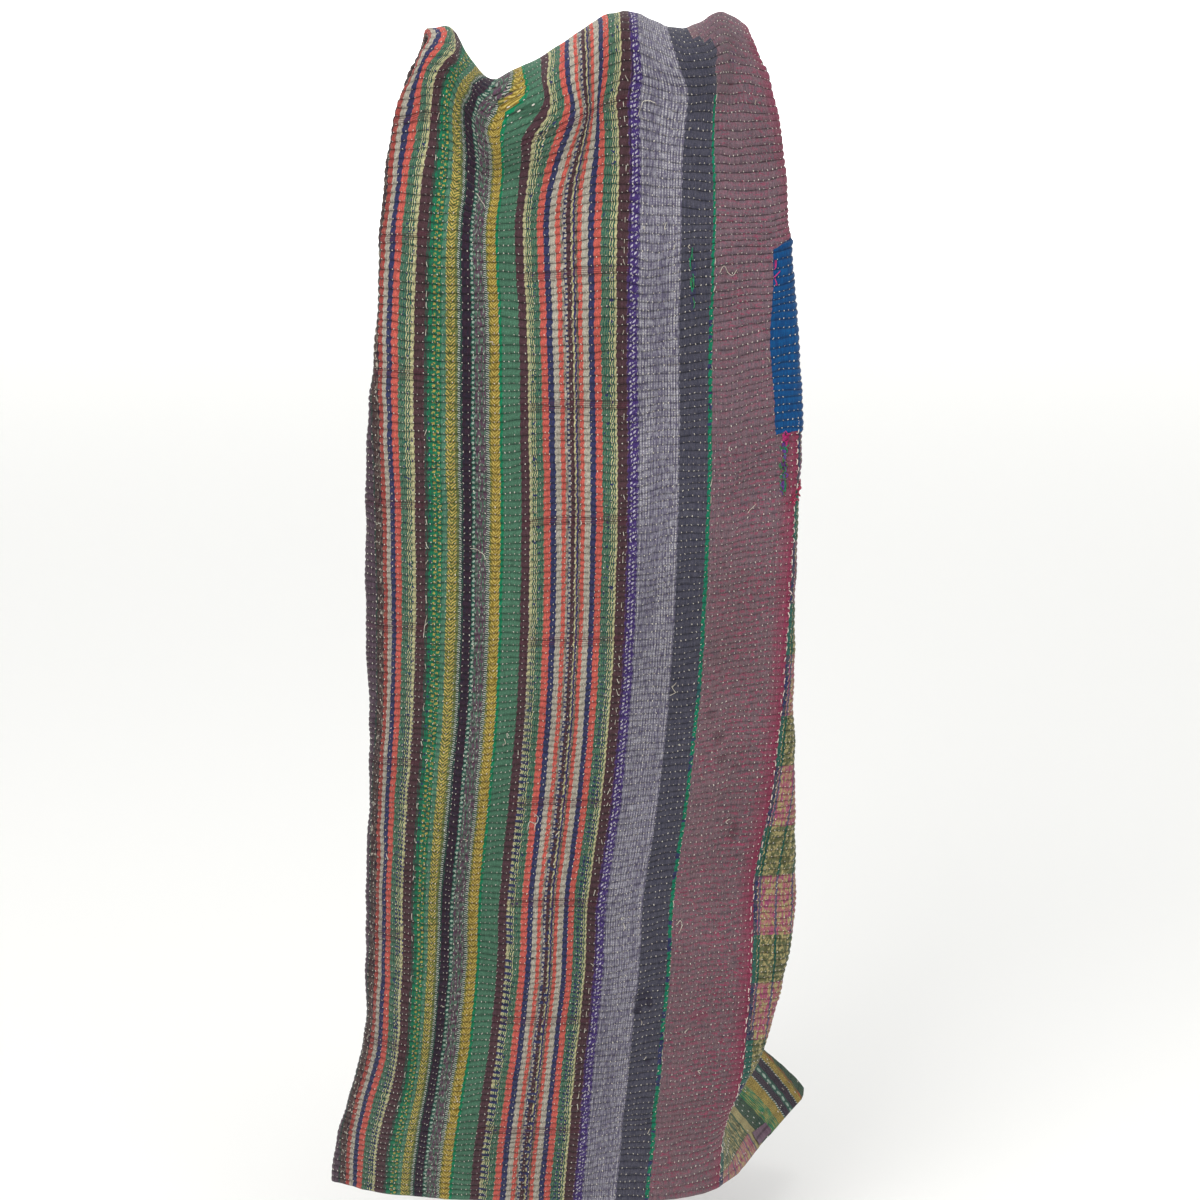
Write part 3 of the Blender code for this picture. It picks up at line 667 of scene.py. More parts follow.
def stripes(f):              # the patterns, and the stripes that use them
    u, v, frayed, slow, ragged = f.u, f.v, f.frayed, f.slow, f.ragged
    lines = f.between(f.pingpong(frayed + slow * 0.0016, 0.0011), 0.00045, 0.00078)
    lines = lines * f.between(f.noise(380, 260, 1.0), 0.30, 0.44)
    wedge = abs(frayed - weave["braidCentres"][0])
    for centre in weave["braidCentres"][1:]:
        wedge = f.sums("MINIMUM", wedge, abs(frayed - centre))
    braid = f.pingpong(f.repeat(wedge * 1.1 + ragged * 0.7 - v, 0.0035), 0.5)
    braid = f.between(braid, 0.20, 0.30) * f.between(f.noise(420, 240, 2.5), 0.30, 0.42)
    ikat = (f.repeat(u * -0.7 + v + ragged, 0.0044) < 0.50) * (f.repeat(frayed - 0.0018, 0.0032) < 0.62)
    ikat = ikat * f.between(f.noise(260, 200, 2.0), 0.42, 0.50)
    ladder = f.between(f.pingpong(u * 0.3 + v, 0.0011), 0.00055, 0.00085)
    dots = f.between(f.pingpong(ragged * 0.5 + v, 0.0026), 0.00145, 0.00085)
    melange = f.between(f.noise(620, 110, 4.0, 3), 0.44, 0.62)

    for low, high, text in stripeBands:
        bands = [(entry.split() + ["melange"])[:4] for entry in text.split(",")]
        places = [float(band[0]) / 1000 for band in bands]
        woven = None
        for first, shown in ((0, (lines, braid, ikat)), (3, (ladder, dots, melange))):
            codes = [patternChannels[band[3]][first:first + 3] + (1,) for band in bands]
            split = f.nodes.new("ShaderNodeSeparateColor")
            f.put(f.ramp(frayed, low, high, places, codes), split.inputs[0])
            for n, pattern in enumerate(shown):
                part = Wire(f, split.outputs[n]) * pattern
                woven = part if woven is None else f.most(woven, part)
        bases, seconds = [f.ramp(frayed, low, high, places, [ink(*colours[band[n]]) for band in bands])
                          for n in (1, 2)]
        woven = f.blendOf(woven, bases, seconds)
        f.chosen = woven if f.chosen is None else f.blendOf(frayed > low, f.chosen, woven)


def lavenderThreads(f):      # pale vertical threads that break, and go bluer lower down
    u, v, frayed, slow, ragged, lower = f.u, f.v, f.frayed, f.slow, f.ragged, f.lower
    threads = f.between(f.pingpong(slow * 0.0015 + u, 0.0013), 0.00045, 0.00095)
    threads = threads * f.between(f.pingpong(ragged * 1.2 + v, 0.0013), 0.0002, 0.0009, 0.35, 1.0)
    threads = threads * f.between(f.noise(380, 170, 5.5), 0.32, 0.52)
    strong = f.most(f.between(f.noise(70, 5, 6.5), 0.40, 0.60, 0.25, 0.9),
                    f.between(frayed, 0.0145, 0.0105), f.between(frayed, 0.0385, 0.0435))
    pale = f.mixed(lower * 0.35, "paleThread", "coolGrey")
    f.dye(threads * strong * f.inside(*weave["lavender"]) * 0.85, pale)


def mauveWeft(f):            # crimson weft that shows between the threads, more to the right and lower down
    v, row, frayed, lower = f.v, f.row, f.frayed, f.lower
    mauveHere = f.inside(*weave["mauve"])
    f.dye(f.between(v, 0.62, 0.84, 0.0, 0.15) * f.between(frayed, 0.158, 0.135) * mauveHere, "coolMauve")
    spots = f.between(f.noise(230, 440, 7.5), 0.58, 0.68)
    spots = spots * f.between(f.noise(34, 22, 8.5, 2), 0.40, 0.58, 0.15, 1.0)
    spots = spots * (lower * 0.20 + f.between(frayed, 0.085, 0.155, 0.50, 0.62))
    flecks = f.between(f.noise(300, 260, 7.8), 0.50, 0.60)
    flecks = flecks * f.between(f.pingpong(row - 0.1, 0.5), 0.18, 0.34)
    flecks = flecks * f.between(v, 0.95, 0.70, 0.35, 0.62) * f.between(frayed, 0.078, 0.150, 0.45, 1.0)
    f.dye(f.most(spots, flecks) * mauveHere, "rose")
    f.dye(f.most(f.between(frayed, 0.142, 0.156, 0.0, 0.65), frayed > 0.1566) * mauveHere, "crimson")


def plaid(f):                # beside the crimson edge, in blocks of olive and pink
    v, frayed, ragged = f.v, f.frayed, f.ragged
    block = f.repeat(v - weave["blockStart"] + ragged, weave["blockEvery"]) < 0.45
    strokes = f.between(f.noise(300, 190, 14.0), 0.46, 0.56)
    plaidLines = f.repeat(frayed + 0.0040, 0.0170) < 0.13
    oliveSide = f.mixed(f.between(f.noise(280, 210, 14.5), 0.52, 0.62, 0.0, 0.8),
                        f.mixed(strokes, "olive", "ochre"), "darkOlive")
    oliveSide = f.mixed(plaidLines, oliveSide, "midGreen")
    pinkSide = f.mixed(f.between(f.noise(420, 60, 15.0), 0.50, 0.60, 0.0, 0.8),
                       f.mixed(strokes, "pink", "ochre"), "magenta")
    pinkSide = f.mixed(plaidLines, pinkSide, "lavender")
    f.dye(f.inside(*weave["plaid"]), f.mixed(block, pinkSide, oliveSide))
    strip = f.mixed(block, f.mixed(f.noise(300, 220, 4.5) > 0.56, "slate", "navy"), "dullTeal")
    f.dye(f.most(f.inside(0.161, 0.165), f.inside(0.161, 0.1695) * (v < 0.20)), strip)


def dotsAndMarks(f):         # rows of round dots, small gold marks, pale strands, specks and rings
    v, frayed, ragged = f.v, f.frayed, f.ragged
    for centre, radius, every, shift, colour in weave["beads"]:
        offU, offV = frayed - centre, f.pingpong(v + shift, every / 2)
        off = f.sums("SQRT", offU * offU + offV * offV) + ragged * 0.3
        f.dye(f.between(off, radius * 1.35, radius), colour)
    for centre, half, every, shift in weave["marks"]:
        near = (abs(frayed - centre) < half) * (f.repeat(v + shift + ragged * 0.8, every) < 0.50)
        f.dye(near * (f.noise(520, 420, 4.2) > 0.45), "paleGold")
    strands = f.between(f.noise(560, 220, 18.0), 0.58, 0.68, 0.0, 0.75)
    f.dye(strands * f.inside(*weave["plumStrands"]), "paleGreen")
    f.dye((f.noise(260, 150, 17.0) > 0.66) * f.inside(*weave["creamSpecks"]), "cream")
    rings = (f.repeat(v, 0.0157) < 0.15) * f.within(v, 0.40, 0.86)
    f.dye(rings * f.inside(*weave["navyRings"]), "navy")


def navyTicks(f):            # in the finely lined stripes, and lower down beside plum and brown
    u, v, ragged, lower = f.u, f.v, f.ragged, f.lower
    fine = f.most(*[f.inside(low, high) for low, high in weave["fineLines"]])
    long = f.between(f.pingpong(ragged * 0.6 + u * 0.15 + v, 0.0035), 0.0019, 0.0013)
    short = (f.repeat(u * 0.2 + v, 0.0045) < 0.50) * (f.repeat(u + 0.0004, 0.0042) < 0.60)
    middle = (f.repeat(ragged * 2.0 + v, 0.0087) < 0.42) * (f.noise(240, 60, 16.0) > 0.50)
    short = short * f.most(*[f.inside(low, high) for low, high in weave["shortTicks"]])
    ticks = f.most(long * f.inside(*weave["longTicks"]), middle * f.inside(*weave["middleTicks"]), short)
    ticks = ticks * lower * (f.noise(40, 60, 7.0) > 0.40)
    f.dye(f.most((f.noise(230, 190, 6.0) > 0.665) * fine, ticks), "navy")


def slateBorder(f):          # the green line narrows upwards and ends
    u, v, frayed, lower = f.u, f.v, f.frayed, f.lower
    thin, whole = f.inside(*weave["thinGreen"]), f.inside(*weave["wholeGreen"])
    f.dye(f.most(thin * (v > 0.965), whole * (v > 1.165)), "slate")
    # at the top the slate fold stands before the mauve one, so their border steps aside there
    aside = f.between(v, 1.186, 1.209, 0.0794, 0.0892) * f.within(v, 1.165, 1.2225)
    f.dye((frayed > 0.0755) * (frayed < aside), "slate")
    f.dye(f.within(u, 0.0715, 0.0800) * f.within(v, 1.234, 1.300), "mauve")
    bits = f.inside(0.0758, 0.0796) * (f.noise(60, 110, 21.0) > 0.57)
    f.dye(bits * f.most(lower, f.within(v, 0.84, 0.96)), "navy")


def mendsAndStains(f):
    u, v, slow = f.u, f.v, f.slow
    slanted = u * -0.03 + slow * 0.003 + v
    threadsIn = f.between(f.sums("SINE", slanted * 2900.0), -0.2, 0.6, 0.12, 1.0) * 0.60
    for low, high, spots in weave["mends"]:
        there = f.most(*[f.between(abs(slanted - spot), 0.0068, 0.0030) for spot in spots])
        f.dye(there * f.within(u, low, high) * threadsIn, "maroon")
    blot = (f.noise(260, 260, 8.0, 2) - 0.5) * 1.1
    for across, up, wide, tall, colour, strength in weave["stains"]:
        offU, offV = (u - across) / wide, (v - up) / tall
        off = f.sums("SQRT", offU * offU + offV * offV) + blot
        f.dye(f.between(off, 1.1, 0.7, 0.0, strength), colour)


def wearAndPaintedShade(f):                 # fading in patches, threads of uneven dye, painted shade in the grooves and on the puckers' flanks, painted shade towards the bottom and the left side, and the weave
    u, v, line, row, frayed = f.u, f.v, f.line, f.row, f.frayed
    light = f.between(f.noise(11, 7, 9.0, 3), 0.3, 0.7, 0.90, 1.08) * weave["depth"]
    light = light * f.between(f.noise(900, 70, 10.0, 2), 0.28, 0.72, 0.82, 1.18)
    light = light * f.between(f.noise(900, 620, 11.0, 2), 0.28, 0.72, 0.74, 1.26)
    # painted shade: the colour is darker towards the bottom, and towards the left side
    light = light * f.between(v, 0.40, 0.95, 0.92, 1.0)
    light = light * f.between(v * 0.03 + frayed, -0.240, -0.195, 0.86, 1.0)
    # painted shade in the groove under each row of stitches: broken, weaker under the stitches on the mauve,
    # lower down and on the flap
    offGroove = abs(f.sums("FRACT", row + 0.5) - 0.5 + 0.105)
    groove = f.between(offGroove, 0.03, 0.11, 1.0, 0.0)
    broken = f.between(f.noise(160, 90, 12.0, 2), 0.32, 0.58, 0.30, 1.0)
    dimple = f.between(f.sums("COSINE", line * fullTurn), 0.3, -0.8)      # 1 where a stitch is
    onMauve = f.inside(0.0794, 0.165) * f.between(v, 1.02, 0.84)
    grooveShadeDepth = f.most(f.between(frayed, 0.044, 0.050, 0.0, 0.66), f.between(frayed, 0.001, -0.001, 0.42, 0.60))
    grooveShadeDepth = grooveShadeDepth * f.between(v, 0.76, 0.94, 0.75, 1.0)
    grooveShadeDepth = grooveShadeDepth * (1 - onMauve * f.between(dimple, 0.0, 1.0, 0.65, 0.15))
    grooveShadeDepth = grooveShadeDepth * (1 - onMauve * f.between(v, 0.60, 0.35, 0.0, 0.45))
    grooveShadeDepth = grooveShadeDepth * f.between(u - v * 0.5, 0.165, 0.185, 1.0, 0.15)
    light = light * (1 - groove * broken * grooveShadeDepth)
    # painted shade on the lower flank of each pucker, and painted light on the ridges
    flank = f.between(offGroove, 0.10, 0.42, 1.0, 0.0)
    light = light * (1.08 - flank * f.between(frayed, 0.030, -0.001, 0.14, 0.27))
    f.put(f.shaded(f.chosen, light), f.shader.inputs["Base Color"])

    threads = f.sums("SINE", u * (fullTurn / 0.0011)) * f.sums("SINE", v * (fullTurn / 0.0010)) * 0.30
    height = f.noise(700, 420, 13.0, 3) * 1.6 + threads - groove - dimple * groove * 0.7
    f.addBump(height, 0.00045)


def stripedCotton():
    f = StripedFabric()
    for lay in (stripes, lavenderThreads, mauveWeft, plaid, dotsAndMarks, navyTicks, slateBorder,
                mendsAndStains, wearAndPaintedShade):
        lay(f)
    return f.material


def plainCotton(name, tint, second, stitched=False):
    f = Fabric(name)
    u, v = f.mapAt("cloth")
    line, row = f.mapAt("stitch")
    threads = f.between(f.speckle(u, v, 620, 90, 0.0, 3), 0.42, 0.62, 0.0, 0.75)
    inRow = f.sums("FRACT", row + 0.5) - 0.5
    # painted shade in the groove below each row of stitches, multiplied into the colour with the patchy
    # fading and grain
    groove = f.between(abs(inRow + 0.10), 0.03, 0.20, 1.0, 0.0)
    light = f.between(f.speckle(u, v, 14, 9, 2.0, 3), 0.3, 0.7, 0.84, 1.12)
    light = light * f.between(f.speckle(u, v, 1200, 1200, 3.0, 2), 0.25, 0.75, 0.85, 1.15)
    colour = f.shaded(f.blendOf(threads, ink(*tint), ink(*second)), light * (1 - groove * 0.40))
    if stitched:
        dash = (abs(inRow) < 0.13) * (abs(f.sums("FRACT", line) - 0.5) < 0.09)
        colour = f.blendOf(dash, colour, ink(196, 190, 178))
    f.put(colour, f.shader.inputs["Base Color"])
    f.addBump(f.speckle(u, v, 700, 500, 4.0, 3) - groove * 1.6, 0.0006)
    return f.material


def threadCotton(name, tint, second):
    f = Fabric(name, roughness=0.8, sheen=0.1)
    place = f.nodes.new("ShaderNodeTexCoord")
    coarse, fine = (f.nodes.new("ShaderNodeTexNoise") for _ in range(2))
    for node, scale in ((coarse, 140), (fine, 2600)):
        setInputs(node, {"Scale": scale, "Detail": 2})
        f.put(place.outputs["Object"], node.inputs["Vector"])
    share = f.between(coarse.outputs[0], 0.40, 0.66)
    f.put(f.blendOf(share, ink(*tint), ink(*second)), f.shader.inputs["Base Color"])
    f.addBump(fine.outputs[0], 0.0002, 0.6)
    return f.material


striped = stripedCotton()
reverse = plainCotton("reverseCotton", (92, 72, 90), (122, 98, 114), stitched=True)
print("fabrics")

# the quilt's face, in a front and a back piece, and its lining with the turned edge
strays = wander(gridU, gridV)
clothMap = np.stack([gridU - strays, along], axis=2)
stitchMap = np.stack([gridU / cloth["linePitch"], 0 * gridU + np.arange(rowCount)[:, None] / 4], axis=2)
bakeMap = np.stack([(gridU + cloth["leftReach"]) / 1.08, gridV / clothLong], axis=2)


def facePiece(name, first, last):
    rows = slice(first, last + 1)
    span = last - first
    share = (gridV[rows] - gridV[first, 0]) / (gridV[last, 0] - gridV[first, 0])
    bake = np.stack([bakeMap[rows, :, 0], 0.002 + 0.996 * share], axis=2)
    return meshFrom(name, clothFace[rows], gridFaces(span + 1, len(columns)), striped,
                    {"cloth": clothMap[rows], "stitch": stitchMap[rows], "OFBake": bake}, clothOut[rows])


quiltFront = facePiece("quiltFront", 0, frontRows)
quiltBack = facePiece("quiltBack", frontRows, rowCount - 1)

tightRows = np.flatnonzero((level > 0.97) & (level < 1.20))       # where the folds are tight
tightColumns = np.flatnonzero((columns > -0.24) & (columns < 0.02))
liningRows = np.unique([*range(0, rowCount, 4), *tightRows, rowCount - 1])
liningColumns = np.unique([*range(0, len(columns), 2), *tightColumns, len(columns) - 1])
pick = np.ix_(liningRows, liningColumns)
liningFace = strayed[pick] - outward(strayed)[pick] * cloth["thick"]
lining = meshFrom("lining", liningFace, gridFaces(len(liningRows), len(liningColumns), flip=True), reverse,
                  {"cloth": clothMap[pick], "stitch": stitchMap[pick],
                   "OFBake": np.clip(bakeMap[pick], 0.002, 0.998)})


def turnedEdge():            # a rounded strip from the face to the lining along all four sides
    loops = []
    for rows, across, away in (
            (np.zeros(len(columns), int), np.arange(len(columns)), (-1, 0)),
            (np.full(len(columns), rowCount - 1), np.arange(len(columns)), (1, 0)),
            (np.arange(rowCount), np.zeros(rowCount, int), (0, -1)),
            (np.arange(rowCount), np.full(rowCount, len(columns) - 1), (0, 1))):
        face, out = clothFace[rows, across], clothOut[rows, across]
        inner = np.clip(rows - away[0], 0, rowCount - 1), np.clip(across - away[1], 0, len(columns) - 1)
        outside = face - clothFace[inner]
        outside /= np.maximum(np.linalg.norm(outside, axis=1, keepdims=True), 1e-9)
        arc = []
        for angle in (0, 45, 90, 135, 180):
            a = math.radians(angle)
            depth = cloth["thick"] * (1 - math.cos(a)) / 2
            arc.append(face - out * depth + outside * cloth["thick"] * 0.42 * math.sin(a))
        arc = np.stack(arc)
        flat = np.stack([columns[across], along[rows, across]], axis=1)
        lattice = np.stack([columns[across] / cloth["linePitch"], rows / 4], axis=1)
        loops.append((arc, np.repeat(flat[None], 5, 0), np.repeat(lattice[None], 5, 0)))
    points, faces, flats, lattices, base = [], [], [], [], 0
    for arc, flat, lattice in loops:
        faces += [[base + i for i in quad] for quad in gridFaces(5, arc.shape[1])]
        points.append(arc.reshape(-1, 3))
        flats.append(flat.reshape(-1, 2))
        lattices.append(lattice.reshape(-1, 2))
        base += arc.shape[0] * arc.shape[1]
    return meshFrom("turnedEdge", np.concatenate(points), faces, striped,
                    {"cloth": np.concatenate(flats), "stitch": np.concatenate(lattices)})


hemEdge = turnedEdge()
print("quilt", len(quiltFront.data.polygons), len(quiltBack.data.polygons), len(lining.data.polygons))

# the blue patch over the right fold
patch = {
    "left": (0.141, 0.134, 0.139),       # its left edge at the foot, in the middle and at the top
    "right": 0.206, "foot": 0.8415, "top": 1.0290, "lift": 0.0012, "edgeLift": 0.0004, "columns": 30,
    "frayed": 0.00035, "puff": 0.00035, "corner": 0.7,
    "flat": (0.070, 0.188),
}


def makePatch():
    rng = np.random.default_rng(21)
    foot, top = rowAt(0.17, patch["foot"]), rowAt(0.17, patch["top"])
    rows = np.linspace(foot, top, round((top - foot) * 4) + 1)
    share = np.linspace(0, 1, patch["columns"])
    leftEdge = np.interp(rows, (foot, (foot + top) / 2, top), patch["left"])
    leftEdge = leftEdge + rng.normal(0, patch["frayed"], len(rows))
    places = leftEdge[:, None] + share[None] * (patch["right"] - leftEdge[:, None])
    lifted = rows[:, None] + np.zeros_like(places)
    corner = np.exp(-(share / 0.16) ** 2)[None] * smooth((rows - top + 1.0) / 1.0)[:, None]
    atEnds = np.abs(lifted - (foot + top) / 2) > (top - foot) / 2 - 0.1
    lifted = lifted - patch["corner"] * corner + 0.05 * rng.normal(0, 1, places.shape) * atEnds
    puffed = patch["puff"] * np.cos((lifted - 0.5) * fullTurn)
    puffed = puffed + 0.0002 * unevenness(places, lengthAt(lifted), 0.02, 22)
    sewn = np.minimum(np.minimum((rows - foot) * 2, 1), np.minimum((top - rows) * 2, 1))[:, None]
    sewn = sewn * np.minimum(np.minimum(share, 1 - share)[None] * 8, 1)
    height = patch["edgeLift"] + (patch["lift"] - patch["edgeLift"] + puffed) * sewn
    points = onCloth(places, lifted, height)
    flat = np.stack([places, lengthAt(lifted)], axis=2)
    lattice = np.stack([places / cloth["linePitch"], lifted], axis=2)
    bake = np.stack(np.broadcast_arrays(share[None] * 0.35, (rows - foot)[:, None] / (top - foot)), axis=2)
    blue = plainCotton("blueCotton", (0, 62, 114), (0, 80, 134))
    return meshFrom("bluePatch", points, gridFaces(len(rows), patch["columns"]), blue,
                    {"cloth": flat, "stitch": lattice, "OFBake": np.clip(bake, 0.002, 0.998)})


bluePatch = makePatch()

# running stitches, each a short raised thread that dips in at both ends
stitch = {"half": 0.00075, "wide": 0.00040, "high": 0.0007, "missing": 0.14}


def makeStitches(name, lines, firstRow, lastRow, seed, skip=None):
    rng = np.random.default_rng(seed)
    at, row = np.meshgrid(lines, np.arange(firstRow, lastRow + 1), indexing="ij")
    at = at + rng.normal(0, 0.00035, at.shape) + rng.normal(0, 0.0003, (len(lines), 1))
    row = row + rng.normal(0, 0.035, row.shape) + rng.normal(0, 0.05, (len(lines), 1))
    keep = rng.random(at.shape) > stitch["missing"] + 0.7 * onFlap(at, lengthAt(row))
    keep &= (at > -cloth["leftReach"] + 0.002) & (at < cloth["rightReach"] - 0.002)
    if skip is not None:
        keep &= ~skip(at, row)
    at, row = at[keep], row[keep]
    v = lengthAt(row)
    half = stitch["half"] * rng.uniform(0.6, 1.4, at.shape) / pitchAt(v)
    wide = stitch["wide"] * rng.uniform(0.75, 1.25, at.shape)
    onPatch = (at > patch["left"][1]) & (at < patch["right"])
    onPatch &= (v > patch["foot"] - 0.02) & (v < patch["top"] - 0.028)
    up = np.where(onPatch, patch["lift"] + 0.0002, 0.0)
    high = stitch["high"] * rng.uniform(0.8, 1.2, at.shape)
    lean = rng.normal(0, 0.00015, at.shape)
    points = [onCloth(at - lean, row - half, up - 0.0002), onCloth(at + lean, row + half, up - 0.0002)]
    for end in (-0.5, 0.5):
        points += [onCloth(at - wide + 2 * lean * end, row + end * half, up + 0.0001),
                   onCloth(at + wide + 2 * lean * end, row + end * half, up + 0.0001),
                   onCloth(at + 2 * lean * end, row + end * half, up + high)]
    points = np.stack(points, axis=1)
    pattern = [(0, 3, 4), (0, 4, 2), (1, 7, 6), (1, 5, 7), (2, 4, 7, 5), (4, 3, 6, 7)]
    base = (np.arange(len(at)) * 8).tolist()
    faces = [tuple(b + i for i in face) for b in base for face in pattern]
    return meshFrom(name, points, faces, stitchThread)


stitchThread = threadCotton("stitchThread", (226, 220, 208), (150, 140, 134))
everyLine = np.arange(-0.6375, 0.429, cloth["linePitch"])
backLines = everyLine[(everyLine > -0.29) & (everyLine < 0.226)]
splitRow = frontRows // 4


def hidden(at, row):         # inside the side folds, where no stitch shows
    v = lengthAt(row)
    return ((at < -0.292) & (v > 0.36)) | ((at > 0.226) & (v > 0.34))


stitchesFront = makeStitches("stitchesFront", everyLine, 1, splitRow, 31, hidden)
stitchesBack = makeStitches("stitchesBack", backLines, splitRow + 1, (rowCount - 1) // 4 - 1, 32)
print("stitches", len(stitchesFront.data.polygons), len(stitchesBack.data.polygons))


# loose threads, darns and whip stitches, as thin tubes
def tube(points, radius, sides=5):
    points = np.asarray(points)
    way = np.gradient(points, axis=0)
    way /= np.maximum(np.linalg.norm(way, axis=1, keepdims=True), 1e-12)
    side = np.cross(way, (0.31, -0.52, 0.79))
    side /= np.linalg.norm(side, axis=1, keepdims=True)
    over = np.cross(way, side)
    around = np.linspace(0, 2 * math.pi, sides, endpoint=False)
    ring = np.cos(around)[None, :, None] * side[:, None] + np.sin(around)[None, :, None] * over[:, None]
    taper = np.ones(len(points))
    taper[0] = taper[-1] = 0.4
    verts = points[:, None] + ring * (radius * taper)[:, None, None]
    faces = [(i + k, i + (k + 1) % sides, i + sides + (k + 1) % sides, i + sides + k)
             for i in range(0, (len(points) - 1) * sides, sides) for k in range(sides)]
    return verts.reshape(-1, 3), faces


def curved(knots, steps=7):       # a smooth line through a few knots
    knots = np.asarray(knots, float)
    full = np.concatenate([[2 * knots[0] - knots[1]], knots, [2 * knots[-1] - knots[-2]]])
    line = []
    for a, b, c, d in zip(full, full[1:], full[2:], full[3:]):
        for t in np.linspace(0, 1, steps, endpoint=False):
            square, cube = 2 * a - 5 * b + 4 * c - d, 3 * b - a - 3 * c + d
            line.append(0.5 * (2 * b + (c - a) * t + square * t ** 2 + cube * t ** 3))
    return np.array(line + [knots[-1]])


def threadsPiece(name, material, threads, radius, onStripes=True):
    points, faces, base = [], [], 0
    for knots in threads:        # each knot: across and along the cloth in mm, height in mm
        line = curved(knots)
        u, v = line[:, 0] / 1000, line[:, 1] / 1000
        if onStripes:
            u = u + strays[np.searchsorted(level, v[0]), np.searchsorted(columns, u[0])]
        verts, quads = tube(onCloth(u, rowAt(u, v), line[:, 2] / 1000), radius)
        faces += [tuple(base + i for i in quad) for quad in quads]
        points.append(verts)
        base += len(verts)
    return meshFrom(name, np.concatenate(points), faces, material)


rng = np.random.default_rng(41)
looseKnots = [
    [(84, 996, 0.8), (86, 1001, 1.6), (89, 1003, 1.8), (93, 996, 1.6), (97, 995, 1.8), (101, 1001, 1.0)],
    [(22, 1165, 0.8), (16, 1166, 2.2), (12, 1162, 2.4), (10, 1155, 1.6), (8, 1148, 0.8)],
    [(-160, 723, 0.8), (-152, 722, 2.0), (-146, 716, 2.4), (-143, 709, 1.4)],
    [(-82, 444, 0.8), (-76, 438, 2.2), (-78, 431, 2.4), (-84, 434, 1.6), (-86, 424, 1.0)],
    [(54, 584, 0.8), (50, 578, 1.8), (54, 573, 1.8), (48, 570, 0.8)],
    [(123, 770, 0.8), (119, 765, 1.6), (115, 760, 0.8)],
    [(84, 322, 0.8), (88, 326, 1.8), (90, 320, 1.8), (87, 310, 1.0)],
    [(-204, 628, 0.6), (-203, 640, 1.4), (-201, 652, 0.6)],
    [(-157, 1090, 0.6), (-150, 1082, 1.8), (-146, 1076, 0.8)],
]
for _ in range(46):              # short ends of the stitching thread, here and there
    u, v = rng.uniform(-250, 150), rng.uniform(30, 1180)
    bend = rng.normal(0, 1.6, 4)
    looseKnots.append([(u, v, 0.5), (u + bend[0], v + bend[1] + 2, 1.4), (u + bend[2], v + bend[3] + 4, 0.9)])
for v in np.arange(70, 1180, 13.5):      # longer stitches along the two brown stripes
    for u, chance in ((-4.0, 0.45), (-202.0, 0.45), (80.0, 0.12)):
        if rng.random() < chance:
            start = v + rng.uniform(-4, 4)
            lean, long = rng.normal(0, 0.6), rng.uniform(3.5, 7)
            looseKnots.append([(u + lean, start, 0.2), (u, start + long / 2, 1.0),
                               (u - lean, start + long, 0.2)])
looseThread = threadCotton("looseThread", (214, 208, 194), (170, 160, 146))
looseThreads = threadsPiece("looseThreads", looseThread, looseKnots, 0.00034)

edgeKnots = []
for v in np.arange(20, 850, 11.2):       # whip stitches along the crimson edge
    start, u = v + rng.uniform(-2, 2), 160.6 + rng.normal(0, 0.7)
    edgeKnots.append([(u, start, 0.1), (u + rng.normal(0, 0.3), start + 2.8, 1.0),
                      (u + rng.normal(0, 0.6), start + 5.6, 0.1)])
edgeThread = threadCotton("edgeThread", (226, 216, 204), (190, 160, 160))
edgeStitches = threadsPiece("edgeStitches", edgeThread, edgeKnots, 0.00050)

# the darn below the patch: two tints, from and to along the cloth, to the side, spread, and how many
darns = {
    "darnMagenta": ((190, 50, 120), (150, 30, 90), 824, 838, 0.8, 1.3, 14),
    "darnViolet": ((110, 60, 150), (80, 40, 110), 776, 826, 0.0, 0.8, 30),
    "darnGreen": ((20, 130, 90), (70, 110, 60), 774, 826, -0.4, 1.4, 30),
    "darnCrimson": ((178, 50, 88), (136, 40, 68), 0, 0, 0, 0, 0),
}
patchLoops = ((151, 834), (152, 838), (139, 984), (140, 992), (139, 999), (140, 1004))
crimsonTufts = ((158, 776, 4, 8), (166, 781, 4, 9), (175, 784, 3, 5))      # place, spread, and how many
darnPieces = []
for name, (tint, second, low, high, aside, spread, count) in darns.items():
    knots = []
    for _ in range(count):
        u, v = 150.5 + aside + rng.normal(0, spread), rng.uniform(low, high)
        long = rng.uniform(3, 7)
        knots.append([(u, v, 0.3), (u + rng.normal(0, 1.2), v + long / 2, 1.4),
                      (u + rng.normal(0, 1.2), v + long, 0.3)])
    for u, v in patchLoops if name == "darnMagenta" else ():
        bend = rng.normal(0, 1.8, 4)
        knots.append([(u, v, 0.8), (u + bend[0], v + bend[1], 2.2), (u + bend[2], v + 5 + bend[3], 1.6)])
    for _ in range(8 if name == "darnGreen" else 0):         # the old mend on the slate stripe
        v, u = rng.uniform(930, 1012), 60 + rng.normal(0, 1.2)
        knots.append([(u, v, 0.2), (u + rng.normal(0, 1), v + 6, 0.9), (u + rng.normal(0, 1), v + 12, 0.2)])
    for u, v, spread, count in crimsonTufts if name == "darnCrimson" else ():
        for _ in range(count):
            a, b = u + rng.normal(0, spread * 0.5), v + rng.normal(0, spread)
            bend = rng.normal(0, 2.0, 4)
            knots.append([(a, b, 0.6), (a + bend[0], b + bend[1], 2.0), (a + bend[2], b + bend[3] + 2, 1.4)])
    darnPieces.append(threadsPiece(name, threadCotton(name, tint, second), knots, 0.00052, onStripes=False))

